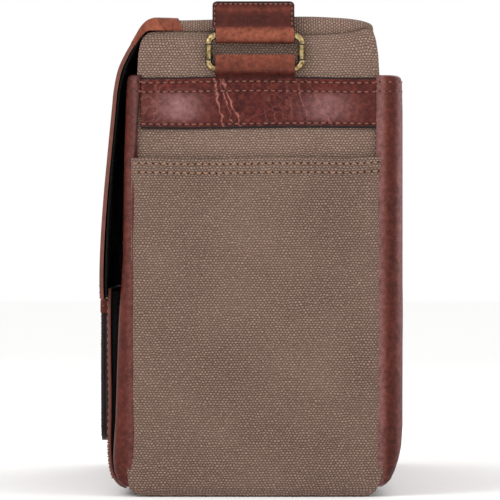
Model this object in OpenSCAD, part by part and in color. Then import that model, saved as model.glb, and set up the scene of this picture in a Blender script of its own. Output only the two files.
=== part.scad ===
// Messenger-style camera bag: canvas body, leather front, back and flap, two closure straps,
// strap rings, a folded shoulder strap, and a padded insert with sliding dividers.
// X runs along the bag, the flap side faces -Y, Z is up, and the origin is under the middle.

/* [Canvas body] */
// Length of the canvas body
body_l = 375; // [340:1:420]
// Distance from the origin to the canvas front wall
canvas_front = 67; // [65:0.5:68]
// Distance from the origin to the canvas back wall
canvas_back = 76; // [72:0.5:76]
// Height of the canvas body, up to the seam under the flap
body_h = 279; // [276:0.5:279]
// Thickness of a canvas wall
canvas_t = 2; // [1.5:0.1:2]
// Thickness of a canvas end panel, with its padding
end_t = 3; // [2:0.1:3.5]

/* [Leather shell] */
// Thickness of the shell leather
leather_t = 2.2; // [1.8:0.1:2.4]
// Height of the shell's top edge
shell_h = 253; // [240:1:256]
// Height of the shell's lower edge
shell_foot = 6; // [4:0.5:8]
// Reach of the front leather at its top edge
front_top = 73; // [72:0.5:74]
// Reach of the front leather at its fullest, near the foot
front_full = 82; // [80:0.5:82]
// Reach of the back leather
back_full = 92.2; // [90:0.1:96]
// How far from the origin the front leather's edge lies on the ends
front_edge = 65; // [60:0.5:66]
// How far from the origin the back leather's edge lies on the ends
back_edge = 75.8; // [70:0.1:78]
// Height of the leather band across each end
band_h = 31; // [24:1:40]

/* [End pockets] */
// Height of the slip pocket's top edge
end_pocket_h = 203; // [160:1:215]
// Thickness of the pocket canvas
end_pocket_t = 1.4; // [1:0.1:2]

/* [Front pocket] */
// Length of the front pocket
front_pocket_l = 344; // [300:1:360]
// Height of its top edge
front_pocket_h = 125; // [110:1:130]
// Reach of its outer face
front_pocket_y = 85.7; // [85.4:0.1:85.9]
// Thickness of its leather
front_pocket_t = 2.1; // [1.8:0.1:2.2]

/* [Flap] */
// Thickness of the flap leather
flap_t = 2.4; // [2:0.1:2.4]
// Thickness of the flap lining
lining_t = 0.9; // [0.6:0.1:1]
// Height of the flap's front edge
flap_foot = 118.5; // [118:0.1:120]
// Reach of the flap's front edge
flap_y = 90; // [89.5:0.1:90]
// Height of the flap's flat top
flap_h = 287.4; // [286:0.1:288]
// Where the leather ends on the top, in front of the origin
flap_leather_y = 43; // [35:1:50]

/* [Closure straps] */
// Distance of each closure strap from the middle
closure_x = 105; // [70:1:140]
// Width of a closure strap
closure_w = 28; // [20:1:32]
// Thickness of a closure strap
closure_t = 4.8; // [4:0.1:4.8]
// Height of the strap's tip
closure_foot = 30; // [24:1:60]
// Reach of the keeper that joins the strap to the flap
keeper_y = 92.2; // [92.1:0.1:92.4]
// Height of the snap
snap_z = 97; // [90:1:100]
// Height of the rivet below the snap
rivet_z = 82.7; // [76:0.1:84]

/* [Strap rings] */
// Width of a ring, outside
ring_w = 60.4; // [56:0.1:64]
// Height of a ring, outside
ring_h = 24; // [23:0.1:26]
// Diameter of the ring's bar
ring_bar = 4.4; // [4:0.1:4.4]
// How far behind the origin a ring is centred
ring_y = 3.3; // [0:0.1:6]
// Width of the leather tabs on a ring
tab_w = 47.6; // [40:0.1:47.6]

/* [Shoulder strap] */
// Width of the webbing
webbing_w = 44; // [38:1:46]
// Thickness of the webbing
webbing_t = 2.2; // [1.8:0.1:2.3]

/* [Padded insert] */
// Thickness of the insert's walls
insert_t = 7; // [5:0.5:9]
// Height of the insert's rim
insert_h = 235; // [180:1:245]
// Height of the dividers
divider_h = 215; // [150:1:225]
// Distance of each divider from the middle
divider_x = 60; // [45:1:70]

/* [Hidden] */

// Gap between layers that are sewn together
seam = 0.15;
// Gap between pieces that move past each other
clear = 0.4;
// How far a cutting shape runs past what it cuts
past = 1;
// Smoothness of round edges
round_fn = 48;

half_l = body_l / 2;
end_inside = half_l - end_t;
shell_in = half_l + seam;
shell_out = shell_in + leather_t;
pocket_out = shell_out + seam + end_pocket_t;

// Floor of the inside: canvas, then board, then the insert
board_t = 3;
board_z = canvas_t + seam;
insert_z = board_z + board_t + seam;
wall_z = insert_z + insert_t + seam;
insert_front_y = canvas_front - canvas_t - seam;
insert_back_y = canvas_back - canvas_t - seam;
insert_end_x = end_inside - seam;

// Chamfers that take the corners off the canvas body
top_chamfer_y = 8;
top_chamfer_z = 11;
top_lean = 2;
foot_chamfer = 4;

// The ring hangs in a plane just outside the end band
ring_r = ring_bar / 2;
ring_corner_r = 6;
ring_x = shell_in + leather_t + clear + ring_r;
ring_low_z = shell_h + 1.6 + ring_r;
ring_high_z = ring_low_z + ring_h - ring_bar;
tab_leather_t = 2.2;
anchor_foot_z = shell_h - 0.7;
anchor_top_z = 265;
strap_tab_foot_z = 271.8;
strap_tab_top_z = 296.9;
strap_tab_inner_z = 283;

// The closure strap turns about the middle of its keeper's round top
keeper_r = 3.05;
keeper_gap = 0.5;
keeper_wall = 2;
keeper_drop = 6;
keeper_mid_y = -keeper_y + keeper_r;
keeper_mid_z = flap_foot - keeper_gap - keeper_r;
closure_out_y = keeper_mid_y - closure_t / 2;

// Snap and rivet heads stand this far out of the pocket
head_t = 0.7;
snap_r = 5;
rivet_r = 2.7;
cap_r = 6;
cap_t = 1.4;

// The folded webbing lies on the flap
fold_count = 3;
strap_z = 288.6;
strap_half_l = 184;
slider_x = 96;
slider_l = 26;
slider_bar = 5;
slider_t = 1.2;

// Draws a Y-Z outline along X between two places
module along_x(from, to) {
    translate([from, 0, 0]) rotate([90, 0, 90]) linear_extrude(to - from) children();
}

// A plain block given by its two far corners
module block(low, high) {
    translate(low) cube(high - low);
}

// Draws at the +X end, or mirrored at the -X end
module at_end(side) {
    if (side > 0) children();
    else mirror([1, 0, 0]) children();
}

// Turns an open line of points into a closed strip on its left-hand side
function ahead(p, i) = p[min(i + 1, len(p) - 1)] - p[max(i - 1, 0)];
function left_of(v) = [-v[1], v[0]] / norm(v);
function shifted(p, d) = [for (i = [0 : len(p) - 1]) p[i] + d * left_of(ahead(p, i))];
function strip(p, from, to) =
    let (a = shifted(p, from), b = shifted(p, to))
    concat(a, [for (i = [len(b) - 1 : -1 : 0]) b[i]]);

// Outline of a canvas end panel
function end_outline() = [
    [-canvas_front, foot_chamfer], [-canvas_front, body_h - top_chamfer_z],
    [-canvas_front + top_chamfer_y / 2, body_h - top_chamfer_z / 2],
    [-canvas_front + top_chamfer_y, body_h], [canvas_back - top_lean, body_h],
    [canvas_back, body_h - top_chamfer_z], [canvas_back, foot_chamfer],
    [canvas_back - foot_chamfer, 0], [-canvas_front + foot_chamfer, 0]
];

// Outline between the front leather's face, set in by some amount, and a straight edge
function front_outline(inset, edge, top) = [
    [-edge, top], [-front_top + inset, top],
    [-front_top - 2.7 + inset, 0.8 * shell_h],
    [-front_top - 3.3 + inset, 0.56 * shell_h],
    [-front_full + 3 + inset, 0.37 * shell_h],
    [-front_full + 1.5 + inset, 0.18 * shell_h],
    [-front_full + inset, shell_foot + 16],
    [-front_full + 3 + inset, shell_foot + 4 + inset / 2],
    [-front_full + 7 + inset, shell_foot + inset],
    [-edge, shell_foot + inset]
];

// The same for the back leather
function back_outline(inset, edge, top) = [
    [edge, top], [back_full - 3 - inset, top],
    [back_full - inset, top - 3],
    [back_full - inset, shell_foot + 34],
    [back_full - 1.4 - inset, shell_foot + 22],
    [back_full - 4.2 - inset, shell_foot + 12],
    [back_full - 9 - inset, shell_foot + 3 + inset / 2],
    [back_full - 13 - inset / 2, shell_foot + inset],
    [edge, shell_foot + inset]
];

// Outer line of the flap, from its leather's rear edge over the front corner and down
function flap_line() = [
    [-flap_leather_y, flap_h], [-58, flap_h], [-66, 280], [-74.5, 266.5], [-79.5, 255],
    [-82, 240], [-85.6, 208], [-flap_y + 2, 178], [-flap_y + 0.6, 148], [-flap_y, flap_foot]
];

// Canvas base, which the bag stands on
module base_canvas() {
    color("#82715f") block([-end_inside + seam, -canvas_front + foot_chamfer, 0],
                           [end_inside - seam, canvas_back - foot_chamfer, canvas_t]);
}

// Stiff board on the base canvas
module base_board() {
    color("#4a4038") block([-insert_end_x, -insert_front_y, board_z],
                           [insert_end_x, insert_back_y, board_z + board_t]);
}

module end_panel(side) {
    color("#82715f") at_end(side) along_x(end_inside, half_l) polygon(end_outline());
}

// Canvas walls inside the leather, leaning in at the top with the end panels
module front_canvas() {
    line = [
        [-canvas_front + top_chamfer_y, body_h],
        [-canvas_front + top_chamfer_y / 2, body_h - top_chamfer_z / 2],
        [-canvas_front, body_h - top_chamfer_z], [-canvas_front, board_z]
    ];
    color("#82715f") along_x(-end_inside + seam, end_inside - seam) polygon(strip(line, 0, canvas_t));
}

module back_canvas() {
    line = [
        [canvas_back, board_z], [canvas_back, body_h - top_chamfer_z], [canvas_back - top_lean, body_h]
    ];
    color("#82715f") along_x(-end_inside + seam, end_inside - seam) polygon(strip(line, 0, canvas_t));
}

// Foam between the canvas walls and the leather
module front_padding() {
    color("#3a3a3c") along_x(-half_l, half_l)
        polygon(front_outline(leather_t + seam, canvas_front + seam, shell_h - past));
}

module back_padding() {
    color("#3a3a3c") along_x(-half_l, half_l)
        polygon(back_outline(leather_t + seam, canvas_back + seam, shell_h - past));
}

// Leather faces that turn a short way onto the ends
module front_leather() {
    color("#6e372d") difference() {
        along_x(-shell_out, shell_out) polygon(front_outline(0, front_edge, shell_h));
        along_x(-shell_in, shell_in)
            polygon(front_outline(leather_t, canvas_front + seam, shell_h + past));
        block([-shell_in, -canvas_front - seam, 0], [shell_in, 0, shell_h + past]);
    }
}

module back_leather() {
    color("#6e372d") difference() {
        along_x(-shell_out, shell_out) polygon(back_outline(0, back_edge, shell_h));
        along_x(-shell_in, shell_in)
            polygon(back_outline(leather_t, canvas_back + seam, shell_h + past));
        block([-shell_in, 0, 0], [shell_in, canvas_back + seam, shell_h + past]);
    }
}

// Leather band between the two shells, across an end
module end_band(side) {
    color("#5f2f28") at_end(side)
        block([shell_in, -front_edge + seam, shell_h - past - band_h],
              [shell_out, back_edge - seam, shell_h - past]);
}

// Slip pocket, flat against the end, lapping over the leather's edges
module end_pocket(side) {
    lap = 6;
    swell = 2;
    color("#82715f") at_end(side) {
        along_x(shell_out + seam, pocket_out) polygon([
            [-front_edge - lap, end_pocket_h], [-front_edge - lap, 46],
            [-front_edge - lap - swell, 16], [-front_edge - lap, 4.5], [-front_edge, 0.6],
            [back_edge - 6, 0.6], [back_edge + 2, 5], [back_edge + 4, 15],
            [back_edge + 3, 40], [back_edge + 3, end_pocket_h]
        ]);
        block([shell_in, -front_edge + seam, foot_chamfer],
              [shell_out + seam, back_edge - seam, end_pocket_h]);
    }
}

// Leather pocket under the flap; its foot turns in to meet the front leather
module front_pocket() {
    line = [
        [-front_pocket_y, front_pocket_h], [-front_pocket_y, 28],
        [-front_pocket_y + 1, 17], [-front_pocket_y + 3.2, 10], [-front_pocket_y + 7, 5.5],
        [-front_pocket_y + 11, 3.6]
    ];
    color("#6e372d") along_x(-front_pocket_l / 2, front_pocket_l / 2)
        polygon(strip(line, 0, front_pocket_t));
}

// Black cloth that closes the pocket's end
module pocket_gusset(side) {
    gusset_t = 1;
    inset = 3;
    low_z = 85;
    high_z = front_pocket_h - 2;
    out_y = -front_pocket_y + front_pocket_t + seam;
    color("#1c1b1c") at_end(side)
        along_x(front_pocket_l / 2 - inset - gusset_t, front_pocket_l / 2 - inset) polygon([
            [out_y, high_z], [out_y, low_z],
            [-front_full + 2.7 - seam, low_z], [-front_full + 3 - seam, 0.37 * shell_h],
            [-front_full + 4.5 - seam, high_z]
        ]);
}

// Brass heads on the pocket, behind the closure straps
module pocket_heads(z, r) {
    color("#8f7f4e") for (x = [-closure_x, closure_x])
        translate([x, -front_pocket_y - seam / 3, z]) rotate([90, 0, 0])
            cylinder(h = head_t, r = r, $fn = round_fn);
}

module snap_bases() {
    pocket_heads(snap_z, snap_r);
}

module pocket_rivets() {
    pocket_heads(rivet_z, rivet_r);
}

// Leather fold that holds the ring's lower bar against the end
module anchor_tab(side) {
    color("#6e372d") at_end(side) difference() {
        block([half_l + seam, ring_y - tab_w / 2, anchor_foot_z],
              [ring_x + ring_r + clear + tab_leather_t, ring_y + tab_w / 2, anchor_top_z]);
        translate([ring_x, ring_y, ring_low_z]) rotate([90, 0, 0])
            cylinder(h = tab_w + 2 * past, r = ring_r + clear, center = true, $fn = round_fn);
    }
}

// Padded insert walls
module insert_base() {
    color("#33302e") block([-insert_end_x, -insert_front_y, insert_z],
                           [insert_end_x, insert_back_y, insert_z + insert_t]);
}

module insert_front() {
    color("#33302e") block([-insert_end_x, -insert_front_y, wall_z],
                           [insert_end_x, -insert_front_y + insert_t, insert_h]);
}

module insert_back() {
    color("#33302e") block([-insert_end_x, insert_back_y - insert_t, wall_z],
                           [insert_end_x, insert_back_y, insert_h]);
}

module insert_end(side) {
    color("#33302e") at_end(side)
        block([insert_end_x - insert_t, -insert_front_y + insert_t + seam, wall_z],
              [insert_end_x, insert_back_y - insert_t - seam, insert_h]);
}

// Padded divider that slides between the insert's walls
module divider(side) {
    color("#4d4844") at_end(side)
        block([divider_x - insert_t / 2, -insert_front_y + insert_t + clear, wall_z + clear],
              [divider_x + insert_t / 2, insert_back_y - insert_t - clear, divider_h]);
}

// Canvas top of the flap, with a tongue under the flap's leather
module flap_top() {
    low_z = body_h + 1.2;
    color("#82715f") along_x(-half_l, half_l) polygon([
        [-57.5, low_z], [-57.5, flap_h - flap_t - seam],
        [-flap_leather_y + seam, flap_h - flap_t - seam], [-flap_leather_y + seam, flap_h],
        [30, flap_h + 0.9], [62, flap_h - 0.9], [72, flap_h - 2.9],
        [canvas_back - top_lean - 0.2, flap_h - 4.6], [canvas_back - top_lean, low_z]
    ]);
}

module flap_leather() {
    color("#6e372d") along_x(-half_l, half_l) polygon(strip(flap_line(), 0, flap_t));
}

// Black lining on the inside of the flap's front
module flap_lining() {
    front_line = [for (p = flap_line()) if (p[1] < 281) p];
    color("#161516") along_x(-half_l + 4, half_l - 4)
        polygon(strip(front_line, flap_t + seam, flap_t + seam + lining_t));
}

// Shoulder strap webbing, folded in three and laid along the flap
module shoulder_strap() {
    color("#4b3a30") block([-strap_half_l, ring_y - webbing_w / 2, strap_z],
                           [strap_half_l, ring_y + webbing_w / 2, strap_z + fold_count * webbing_t]);
}

// Flat brass slider on the folded webbing
module strap_slider() {
    z = strap_z + fold_count * webbing_t + seam / 3;
    half_w = webbing_w / 2;
    color("#8f7f4e") difference() {
        block([slider_x - slider_l / 2, ring_y - half_w, z],
              [slider_x + slider_l / 2, ring_y + half_w, z + slider_t]);
        for (dx = [-slider_l / 4 + slider_bar / 4, slider_l / 4 - slider_bar / 4])
            translate([slider_x + dx, ring_y, z + slider_t / 2])
                cube([slider_l / 2 - 1.5 * slider_bar + 2, webbing_w - 2 * slider_bar, 2 * slider_t],
                     center = true);
    }
}

// Strap with a round tip, recessed behind for the snap cap
module closure_strap(side) {
    tip_z = closure_foot + closure_w / 2;
    color("#2e2020") at_end(side) difference() {
        translate([closure_x, closure_out_y + closure_t, 0]) rotate([90, 0, 0])
            linear_extrude(closure_t) {
                translate([0, tip_z]) circle(d = closure_w, $fn = round_fn);
                translate([-closure_w / 2, tip_z])
                    square([closure_w, keeper_mid_z - seam - tip_z]);
            }
        translate([closure_x, closure_out_y + closure_t + past, snap_z]) rotate([90, 0, 0])
            cylinder(h = cap_t + past, r = cap_r + seam / 3, $fn = round_fn);
    }
}

// Keeper: a leather loop with a round top that turns against the flap's edge
module closure_keeper(side) {
    half_w = closure_w / 2 + keeper_wall;
    color("#6e372d") at_end(side) difference() {
        along_x(closure_x - half_w, closure_x + half_w) {
            translate([keeper_mid_y, keeper_mid_z]) circle(r = keeper_r, $fn = round_fn);
            translate([keeper_mid_y - keeper_r, keeper_mid_z - keeper_drop])
                square([2 * keeper_r, keeper_drop]);
        }
        block([closure_x - closure_w / 2 - seam, closure_out_y - seam / 2, 0],
              [closure_x + closure_w / 2 + seam, closure_out_y + closure_t + seam / 2, keeper_mid_z]);
    }
}

module snap_cap(side) {
    color("#8f7f4e") at_end(side)
        translate([closure_x, closure_out_y + closure_t, snap_z]) rotate([90, 0, 0])
            cylinder(h = cap_t - seam / 3, r = cap_r, $fn = round_fn);
}

// Rectangular ring of round bar with round corners
module strap_ring(side) {
    reach_y = ring_w / 2 - ring_corner_r;
    reach_z = ring_h / 2 - ring_corner_r;
    bend_r = ring_corner_r - ring_r;
    mid_z = (ring_low_z + ring_high_z) / 2;
    color("#8f7f4e") at_end(side) translate([ring_x, ring_y, mid_z]) rotate([90, 0, 90]) {
        for (turn = [0 : 3]) {
            long_y = (turn == 0 || turn == 3) ? reach_y : -reach_y;
            long_z = turn < 2 ? reach_z : -reach_z;
            translate([long_y, long_z, 0]) rotate([0, 0, 90 * turn])
                rotate_extrude(angle = 90, $fn = round_fn)
                    translate([bend_r, 0]) circle(r = ring_r, $fn = round_fn);
        }
        for (s = [-1, 1]) {
            translate([0, s * (ring_h / 2 - ring_r), 0]) rotate([0, 90, 0])
                cylinder(h = 2 * reach_y, r = ring_r, center = true, $fn = round_fn);
            translate([s * (ring_w / 2 - ring_r), 0, 0]) rotate([90, 0, 0])
                cylinder(h = 2 * reach_z, r = ring_r, center = true, $fn = round_fn);
        }
    }
}

// Strap end leather: folded round the ring's upper bar, long outside and short inside
module strap_tab(side) {
    outer_x = ring_x + ring_r + clear / 2;
    inner_x = ring_x - ring_r - clear / 2;
    pressed = 0.9;      // the leather thins where it is pulled round the bar
    neck = 1.6;         // stitches close the loop this far above the bar
    color("#6e372d") at_end(side) difference() {
        block([inner_x - tab_leather_t + pressed, ring_y - tab_w / 2, strap_tab_foot_z],
              [outer_x + tab_leather_t - pressed, ring_y + tab_w / 2, strap_tab_top_z]);
        translate([ring_x, ring_y, ring_high_z]) rotate([90, 0, 0])
            cylinder(h = tab_w + 2 * past, r = ring_r + clear / 2, center = true, $fn = round_fn);
        block([inner_x - tab_leather_t, ring_y - tab_w, strap_tab_inner_z],
              [ring_x + webbing_t / 2 + seam, ring_y + tab_w, strap_tab_top_z + past]);
        block([ring_x - webbing_t / 2 - seam, ring_y - tab_w, ring_high_z + ring_r + neck],
              [ring_x + webbing_t / 2 + seam, ring_y + tab_w, strap_tab_top_z + past]);
    }
}

// Webbing end sewn inside the strap tab, turning in towards the flap
module strap_end(side) {
    inner_x = half_l + 1.1;                 // clear of the end canvas
    foot_z = ring_high_z + ring_r + 2;      // just above the loop's stitches
    turn_z = 293;                           // where it turns in over the flap
    color("#4b3a30") at_end(side) {
        block([ring_x - webbing_t / 2, ring_y - webbing_w / 2, foot_z],
              [ring_x + webbing_t / 2, ring_y + webbing_w / 2, turn_z]);
        block([inner_x, ring_y - webbing_w / 2, turn_z - webbing_t],
              [ring_x, ring_y + webbing_w / 2, turn_z]);
    }
}

base_canvas();
base_board();
end_panel(-1);  // end_panel_left
end_panel(1);  // end_panel_right
front_canvas();
back_canvas();
front_padding();
back_padding();
front_leather();
back_leather();
end_band(-1);  // end_band_left
end_band(1);  // end_band_right
end_pocket(-1);  // end_pocket_left
end_pocket(1);  // end_pocket_right
front_pocket();
pocket_gusset(-1);  // pocket_gusset_left
pocket_gusset(1);  // pocket_gusset_right
snap_bases();
pocket_rivets();
anchor_tab(-1);  // anchor_tab_left
anchor_tab(1);  // anchor_tab_right
insert_base();
insert_front();
insert_back();
insert_end(-1);  // insert_left
insert_end(1);  // insert_right
divider(-1);  // divider_left
divider(1);  // divider_right
flap_top();
flap_leather();
flap_lining();
shoulder_strap();
strap_slider();
closure_strap(-1);  // closure_strap_left
closure_keeper(-1);  // closure_keeper_left
snap_cap(-1);  // snap_cap_left
closure_strap(1);  // closure_strap_right
closure_keeper(1);  // closure_keeper_right
snap_cap(1);  // snap_cap_right
strap_ring(-1);  // strap_ring_left
strap_tab(-1);  // strap_tab_left
strap_end(-1);  // strap_end_left
strap_ring(1);  // strap_ring_right
strap_tab(1);  // strap_tab_right
strap_end(1);  // strap_end_right
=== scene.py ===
# %% [markdown]
# A camera bag in waxed canvas and oiled leather.
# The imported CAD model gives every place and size. Each cell below dresses one kind of piece:
# first it says what the piece is on a real bag, how it could be modelled, and why it is made this way.

import math

import bmesh
import bpy
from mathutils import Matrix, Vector, noise


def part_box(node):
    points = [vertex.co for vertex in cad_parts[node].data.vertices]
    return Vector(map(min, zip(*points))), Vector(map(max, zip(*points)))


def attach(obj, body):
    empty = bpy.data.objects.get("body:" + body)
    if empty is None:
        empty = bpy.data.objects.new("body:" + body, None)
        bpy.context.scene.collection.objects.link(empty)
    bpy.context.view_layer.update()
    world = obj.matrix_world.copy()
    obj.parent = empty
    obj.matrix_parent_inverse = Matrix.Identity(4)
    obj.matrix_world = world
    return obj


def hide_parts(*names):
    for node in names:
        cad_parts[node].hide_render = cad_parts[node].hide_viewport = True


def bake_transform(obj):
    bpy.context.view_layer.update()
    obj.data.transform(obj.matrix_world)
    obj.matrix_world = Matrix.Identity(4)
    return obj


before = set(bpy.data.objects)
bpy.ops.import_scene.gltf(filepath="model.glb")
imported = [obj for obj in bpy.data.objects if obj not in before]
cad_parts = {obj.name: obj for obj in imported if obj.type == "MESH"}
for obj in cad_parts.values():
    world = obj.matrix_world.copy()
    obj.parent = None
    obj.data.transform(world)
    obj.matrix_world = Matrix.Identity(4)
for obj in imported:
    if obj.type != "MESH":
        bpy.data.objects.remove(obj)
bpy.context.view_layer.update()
MM = 0.001

# %% [markdown]
# A bag maker works in millimetres from a few edges: the cloth's end, the leather's end, the floor.
# All of them are read from the CAD nodes, so that a change in the CAD moves the looks with it.

# %% Read the driving edges


def edges(name):
    """Lowest and highest corners of a CAD node, in millimetres."""
    low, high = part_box(name)
    return low / MM, high / MM


panel_low, panel_high = edges("end_panel_right")
band_low, band_high = edges("end_band_right")
pocket_low, pocket_high = edges("end_pocket_right")
front_low, front_high = edges("front_leather")
back_low, back_high = edges("back_leather")
flap_low, flap_high = edges("flap_leather")
top_low, top_high = edges("flap_top")
ring_low, ring_high = edges("strap_ring_right")
anchor_low, anchor_high = edges("anchor_tab_right")
tab_low, tab_high = edges("strap_tab_right")
fpocket_low, fpocket_high = edges("front_pocket")
closure_low, closure_high = edges("closure_strap_right")
keeper_low, keeper_high = edges("closure_keeper_right")
strap_low, strap_high = edges("shoulder_strap")

cloth_end = panel_high.x
leather_end = band_high.x
pocket_end = pocket_high.x
ring_y = (ring_low.y + ring_high.y) / 2
print("cloth ends at", round(cloth_end, 2), "and leather at", round(leather_end, 2))

# %% [markdown]
# Every soft piece here is a sheet: a surface with a cut edge and a thickness.
# A grid of points gives the surface, Solidify gives the thickness, and Bevel rounds the cut edge.
# The grid also gets a UV map in metres, so that a weave keeps its thread spacing on any piece.

# %% Sheet helpers


def spread(low, high, count):
    """Evenly spaced values, both ends included."""
    return [low + (high - low) * i / (count - 1) for i in range(count)]


def between(x, table):
    """Value at x along a table of (x, value) pairs, straight between them."""
    if x <= table[0][0]:
        return table[0][1]
    for (x0, v0), (x1, v1) in zip(table, table[1:]):
        if x <= x1:
            t = (x - x0) / (x1 - x0)
            return v0 + (v1 - v0) * t
    return table[-1][1]


def step(x, low, high):
    """0 below low, 1 above high, and smooth between."""
    t = min(max((x - low) / (high - low), 0), 1)
    return t * t * (3 - 2 * t)


def spline(points, count):
    """Points evenly spaced along a smooth line through the given ones."""
    pts = [Vector(p) for p in points]
    fine = []
    for i in range(len(pts) - 1):
        a, b = pts[max(i - 1, 0)], pts[i]
        c, d = pts[i + 1], pts[min(i + 2, len(pts) - 1)]
        for k in range(16):
            t = k / 16
            fine.append(
                0.5 * (2 * b + (c - a) * t + (2 * a - 5 * b + 4 * c - d) * t * t
                       + (3 * b - 3 * c + d - a) * t ** 3))
    fine.append(pts[-1])
    lengths = [0]
    for p, q in zip(fine, fine[1:]):
        lengths.append(lengths[-1] + (q - p).length)
    out, j = [], 0
    for s in spread(0, lengths[-1], count):
        while j < len(fine) - 2 and lengths[j + 1] < s:
            j += 1
        gap = lengths[j + 1] - lengths[j] or 1
        out.append(fine[j].lerp(fine[j + 1], (s - lengths[j]) / gap))
    return out


def rumple(point, size, seed):
    """Smooth noise from about -1 to 1 for soft waves of the given size, in millimetres."""
    return noise.noise(Vector(point) / size + Vector((seed, 3.7 * seed, 0)))


def mesh_object(name, verts, faces, material, uvs=None):
    """A mesh object at the origin, from points in millimetres."""
    mesh = bpy.data.meshes.new(name)
    mesh.from_pydata([Vector(v) * MM for v in verts], [], faces)
    for m in material if isinstance(material, (list, tuple)) else [material]:
        mesh.materials.append(m)
    if uvs:
        layer = mesh.uv_layers.new(name="UVMap")
        for loop in mesh.loops:
            layer.data[loop.index].uv = Vector(uvs[loop.vertex_index]) * MM
    mesh.shade_smooth()
    obj = bpy.data.objects.new(name, mesh)
    bpy.context.scene.collection.objects.link(obj)
    return obj


def settle(obj):
    """Turns an object with modifiers into a plain mesh."""
    graph = bpy.context.evaluated_depsgraph_get()
    mesh = bpy.data.meshes.new_from_object(obj.evaluated_get(graph))
    obj.modifiers.clear()
    obj.data = mesh
    return obj


def grid_faces(rows, columns, closed=False):
    """Quads between rows of points."""
    faces = []
    for r in range(rows - 1):
        for c in range(columns if closed else columns - 1):
            d = (c + 1) % columns
            faces.append((r * columns + c, r * columns + d, (r + 1) * columns + d, (r + 1) * columns + c))
    return faces


cut_sizes = {}


def sheet(name, rows, thickness, out, material, edge=None, round_mm=0.5):
    """A sheet through rows of points, its outside towards out, its thickness inwards."""
    columns = len(rows[0])
    verts = [Vector(p) for row in rows for p in row]
    across, along = [0], [0]
    middle = rows[len(rows) // 2]
    for p, q in zip(middle, middle[1:]):
        across.append(across[-1] + (Vector(q) - Vector(p)).length)
    half = columns // 2
    for p, q in zip(rows, rows[1:]):
        along.append(along[-1] + (Vector(q[half]) - Vector(p[half])).length)
    uvs = [(across[i % columns], along[i // columns]) for i in range(len(verts))]
    faces = grid_faces(len(rows), columns)
    area = sum(((verts[f[2]] - verts[f[0]]).cross(verts[f[3]] - verts[f[1]])).length / 2 for f in faces)
    widest = max(sum((Vector(q) - Vector(p)).length for p, q in zip(row, row[1:])) for row in rows)
    cut_sizes[name] = (widest, max(along[-1], area / widest), area)
    probe = faces[len(faces) // 2]
    normal = (verts[probe[1]] - verts[probe[0]]).cross(verts[probe[2]] - verts[probe[0]])
    if normal.dot(Vector(out)) < 0:
        faces = [f[::-1] for f in faces]
    obj = mesh_object(name, verts, faces, [material, edge or material], uvs)
    solid = obj.modifiers.new("thickness", "SOLIDIFY")
    solid.thickness = thickness * MM
    solid.offset = -1
    solid.material_offset_rim = 1
    bevel = obj.modifiers.new("soft edge", "BEVEL")
    bevel.width = round_mm * MM
    bevel.segments = 3
    bevel.limit_method = "ANGLE"
    bevel.angle_limit = math.radians(50)
    return settle(obj)


def loft(name, rings, material):
    """A closed body through closed rings of points, with both ends capped."""
    columns = len(rings[0])
    verts = [Vector(p) for ring in rings for p in ring]
    around = [0]
    for p, q in zip(rings[len(rings) // 2], rings[len(rings) // 2][1:]):
        around.append(around[-1] + (Vector(q) - Vector(p)).length)
    along = [0]
    for p, q in zip(rings, rings[1:]):
        along.append(along[-1] + (Vector(q[0]) - Vector(p[0])).length)
    uvs = [(around[i % columns], along[i // columns]) for i in range(len(verts))]
    faces = grid_faces(len(rings), columns, closed=True)
    faces.append(tuple(range(columns))[::-1])
    faces.append(tuple(range(len(verts) - columns, len(verts))))
    obj = mesh_object(name, verts, faces, material, uvs)
    face_out(obj)
    return obj


def face_out(obj):
    """Turns a closed mesh's faces outwards."""
    bm = bmesh.new()
    bm.from_mesh(obj.data)
    bmesh.ops.recalc_face_normals(bm, faces=bm.faces)
    bm.to_mesh(obj.data)
    bm.free()


def set_tone(obj, tone):
    """Stores a leather tone at each point: below 0 darker, in some places as painted shade; above 0 worn lighter."""
    layer = obj.data.attributes.new("tone", "FLOAT", "POINT")
    layer.data.foreach_set("value", [tone(v.co / MM) for v in obj.data.vertices])


def set_painted_highlight(obj, bloom):
    """Stores how strong the painted highlight on a leather is at each point, from 0 to 1."""
    layer = obj.data.attributes.new("bloom", "FLOAT", "POINT")
    layer.data.foreach_set("value", [bloom(v.co / MM) for v in obj.data.vertices])


def paint(obj, test):
    """Gives the faces whose middle passes the test the piece's second material."""
    for face in obj.data.polygons:
        if test(face.center / MM):
            face.material_index = 1


def belongs(obj, body, slot, *nodes):
    """Says what the piece moves with, whose finish it has (slot, which is not used), and which CAD nodes it stands for.
    """
    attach(obj, body)
    if nodes:
        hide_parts(*nodes)
    return obj


SIDES = (("right", 1), ("left", -1))
print("helpers ready")

# %% [markdown]
# Materials come next. Colours are written as sRGB hex, the way a swatch is read, and one function
# turns them to the linear values that the shader wants. One more function adds a node.

# %% Material helpers


def colour(code, alpha=1.0):
    """Linear colour from an sRGB hex code."""
    parts = [int(code[i : i + 2], 16) / 255 for i in (1, 3, 5)]
    return [c / 12.92 if c <= 0.04045 else ((c + 0.055) / 1.055) ** 2.4 for c in parts] + [alpha]


def add(tree, kind, inputs=None, **settings):
    """Adds a node, with its settings, its values and its links."""
    made = tree.nodes.new(kind)
    for key, value in settings.items():
        setattr(made, key, value)
    for key, value in (inputs or {}).items():
        if isinstance(value, bpy.types.NodeSocket):
            tree.links.new(value, made.inputs[key])
        else:
            made.inputs[key].default_value = value
    return made


def new_material(name, **shader):
    """A material whose shader has the given plain values. Returns it, its tree and its shader."""
    material = bpy.data.materials.new(name)
    material.use_nodes = True
    tree = material.node_tree
    bsdf = tree.nodes["Principled BSDF"]
    for key, value in shader.items():
        bsdf.inputs[key.replace("_", " ")].default_value = value
    return material, tree, bsdf


def math_node(tree, operation, a, b=0.0):
    return add(tree, "ShaderNodeMath", {0: a, 1: b}, operation=operation).outputs[0]


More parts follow.
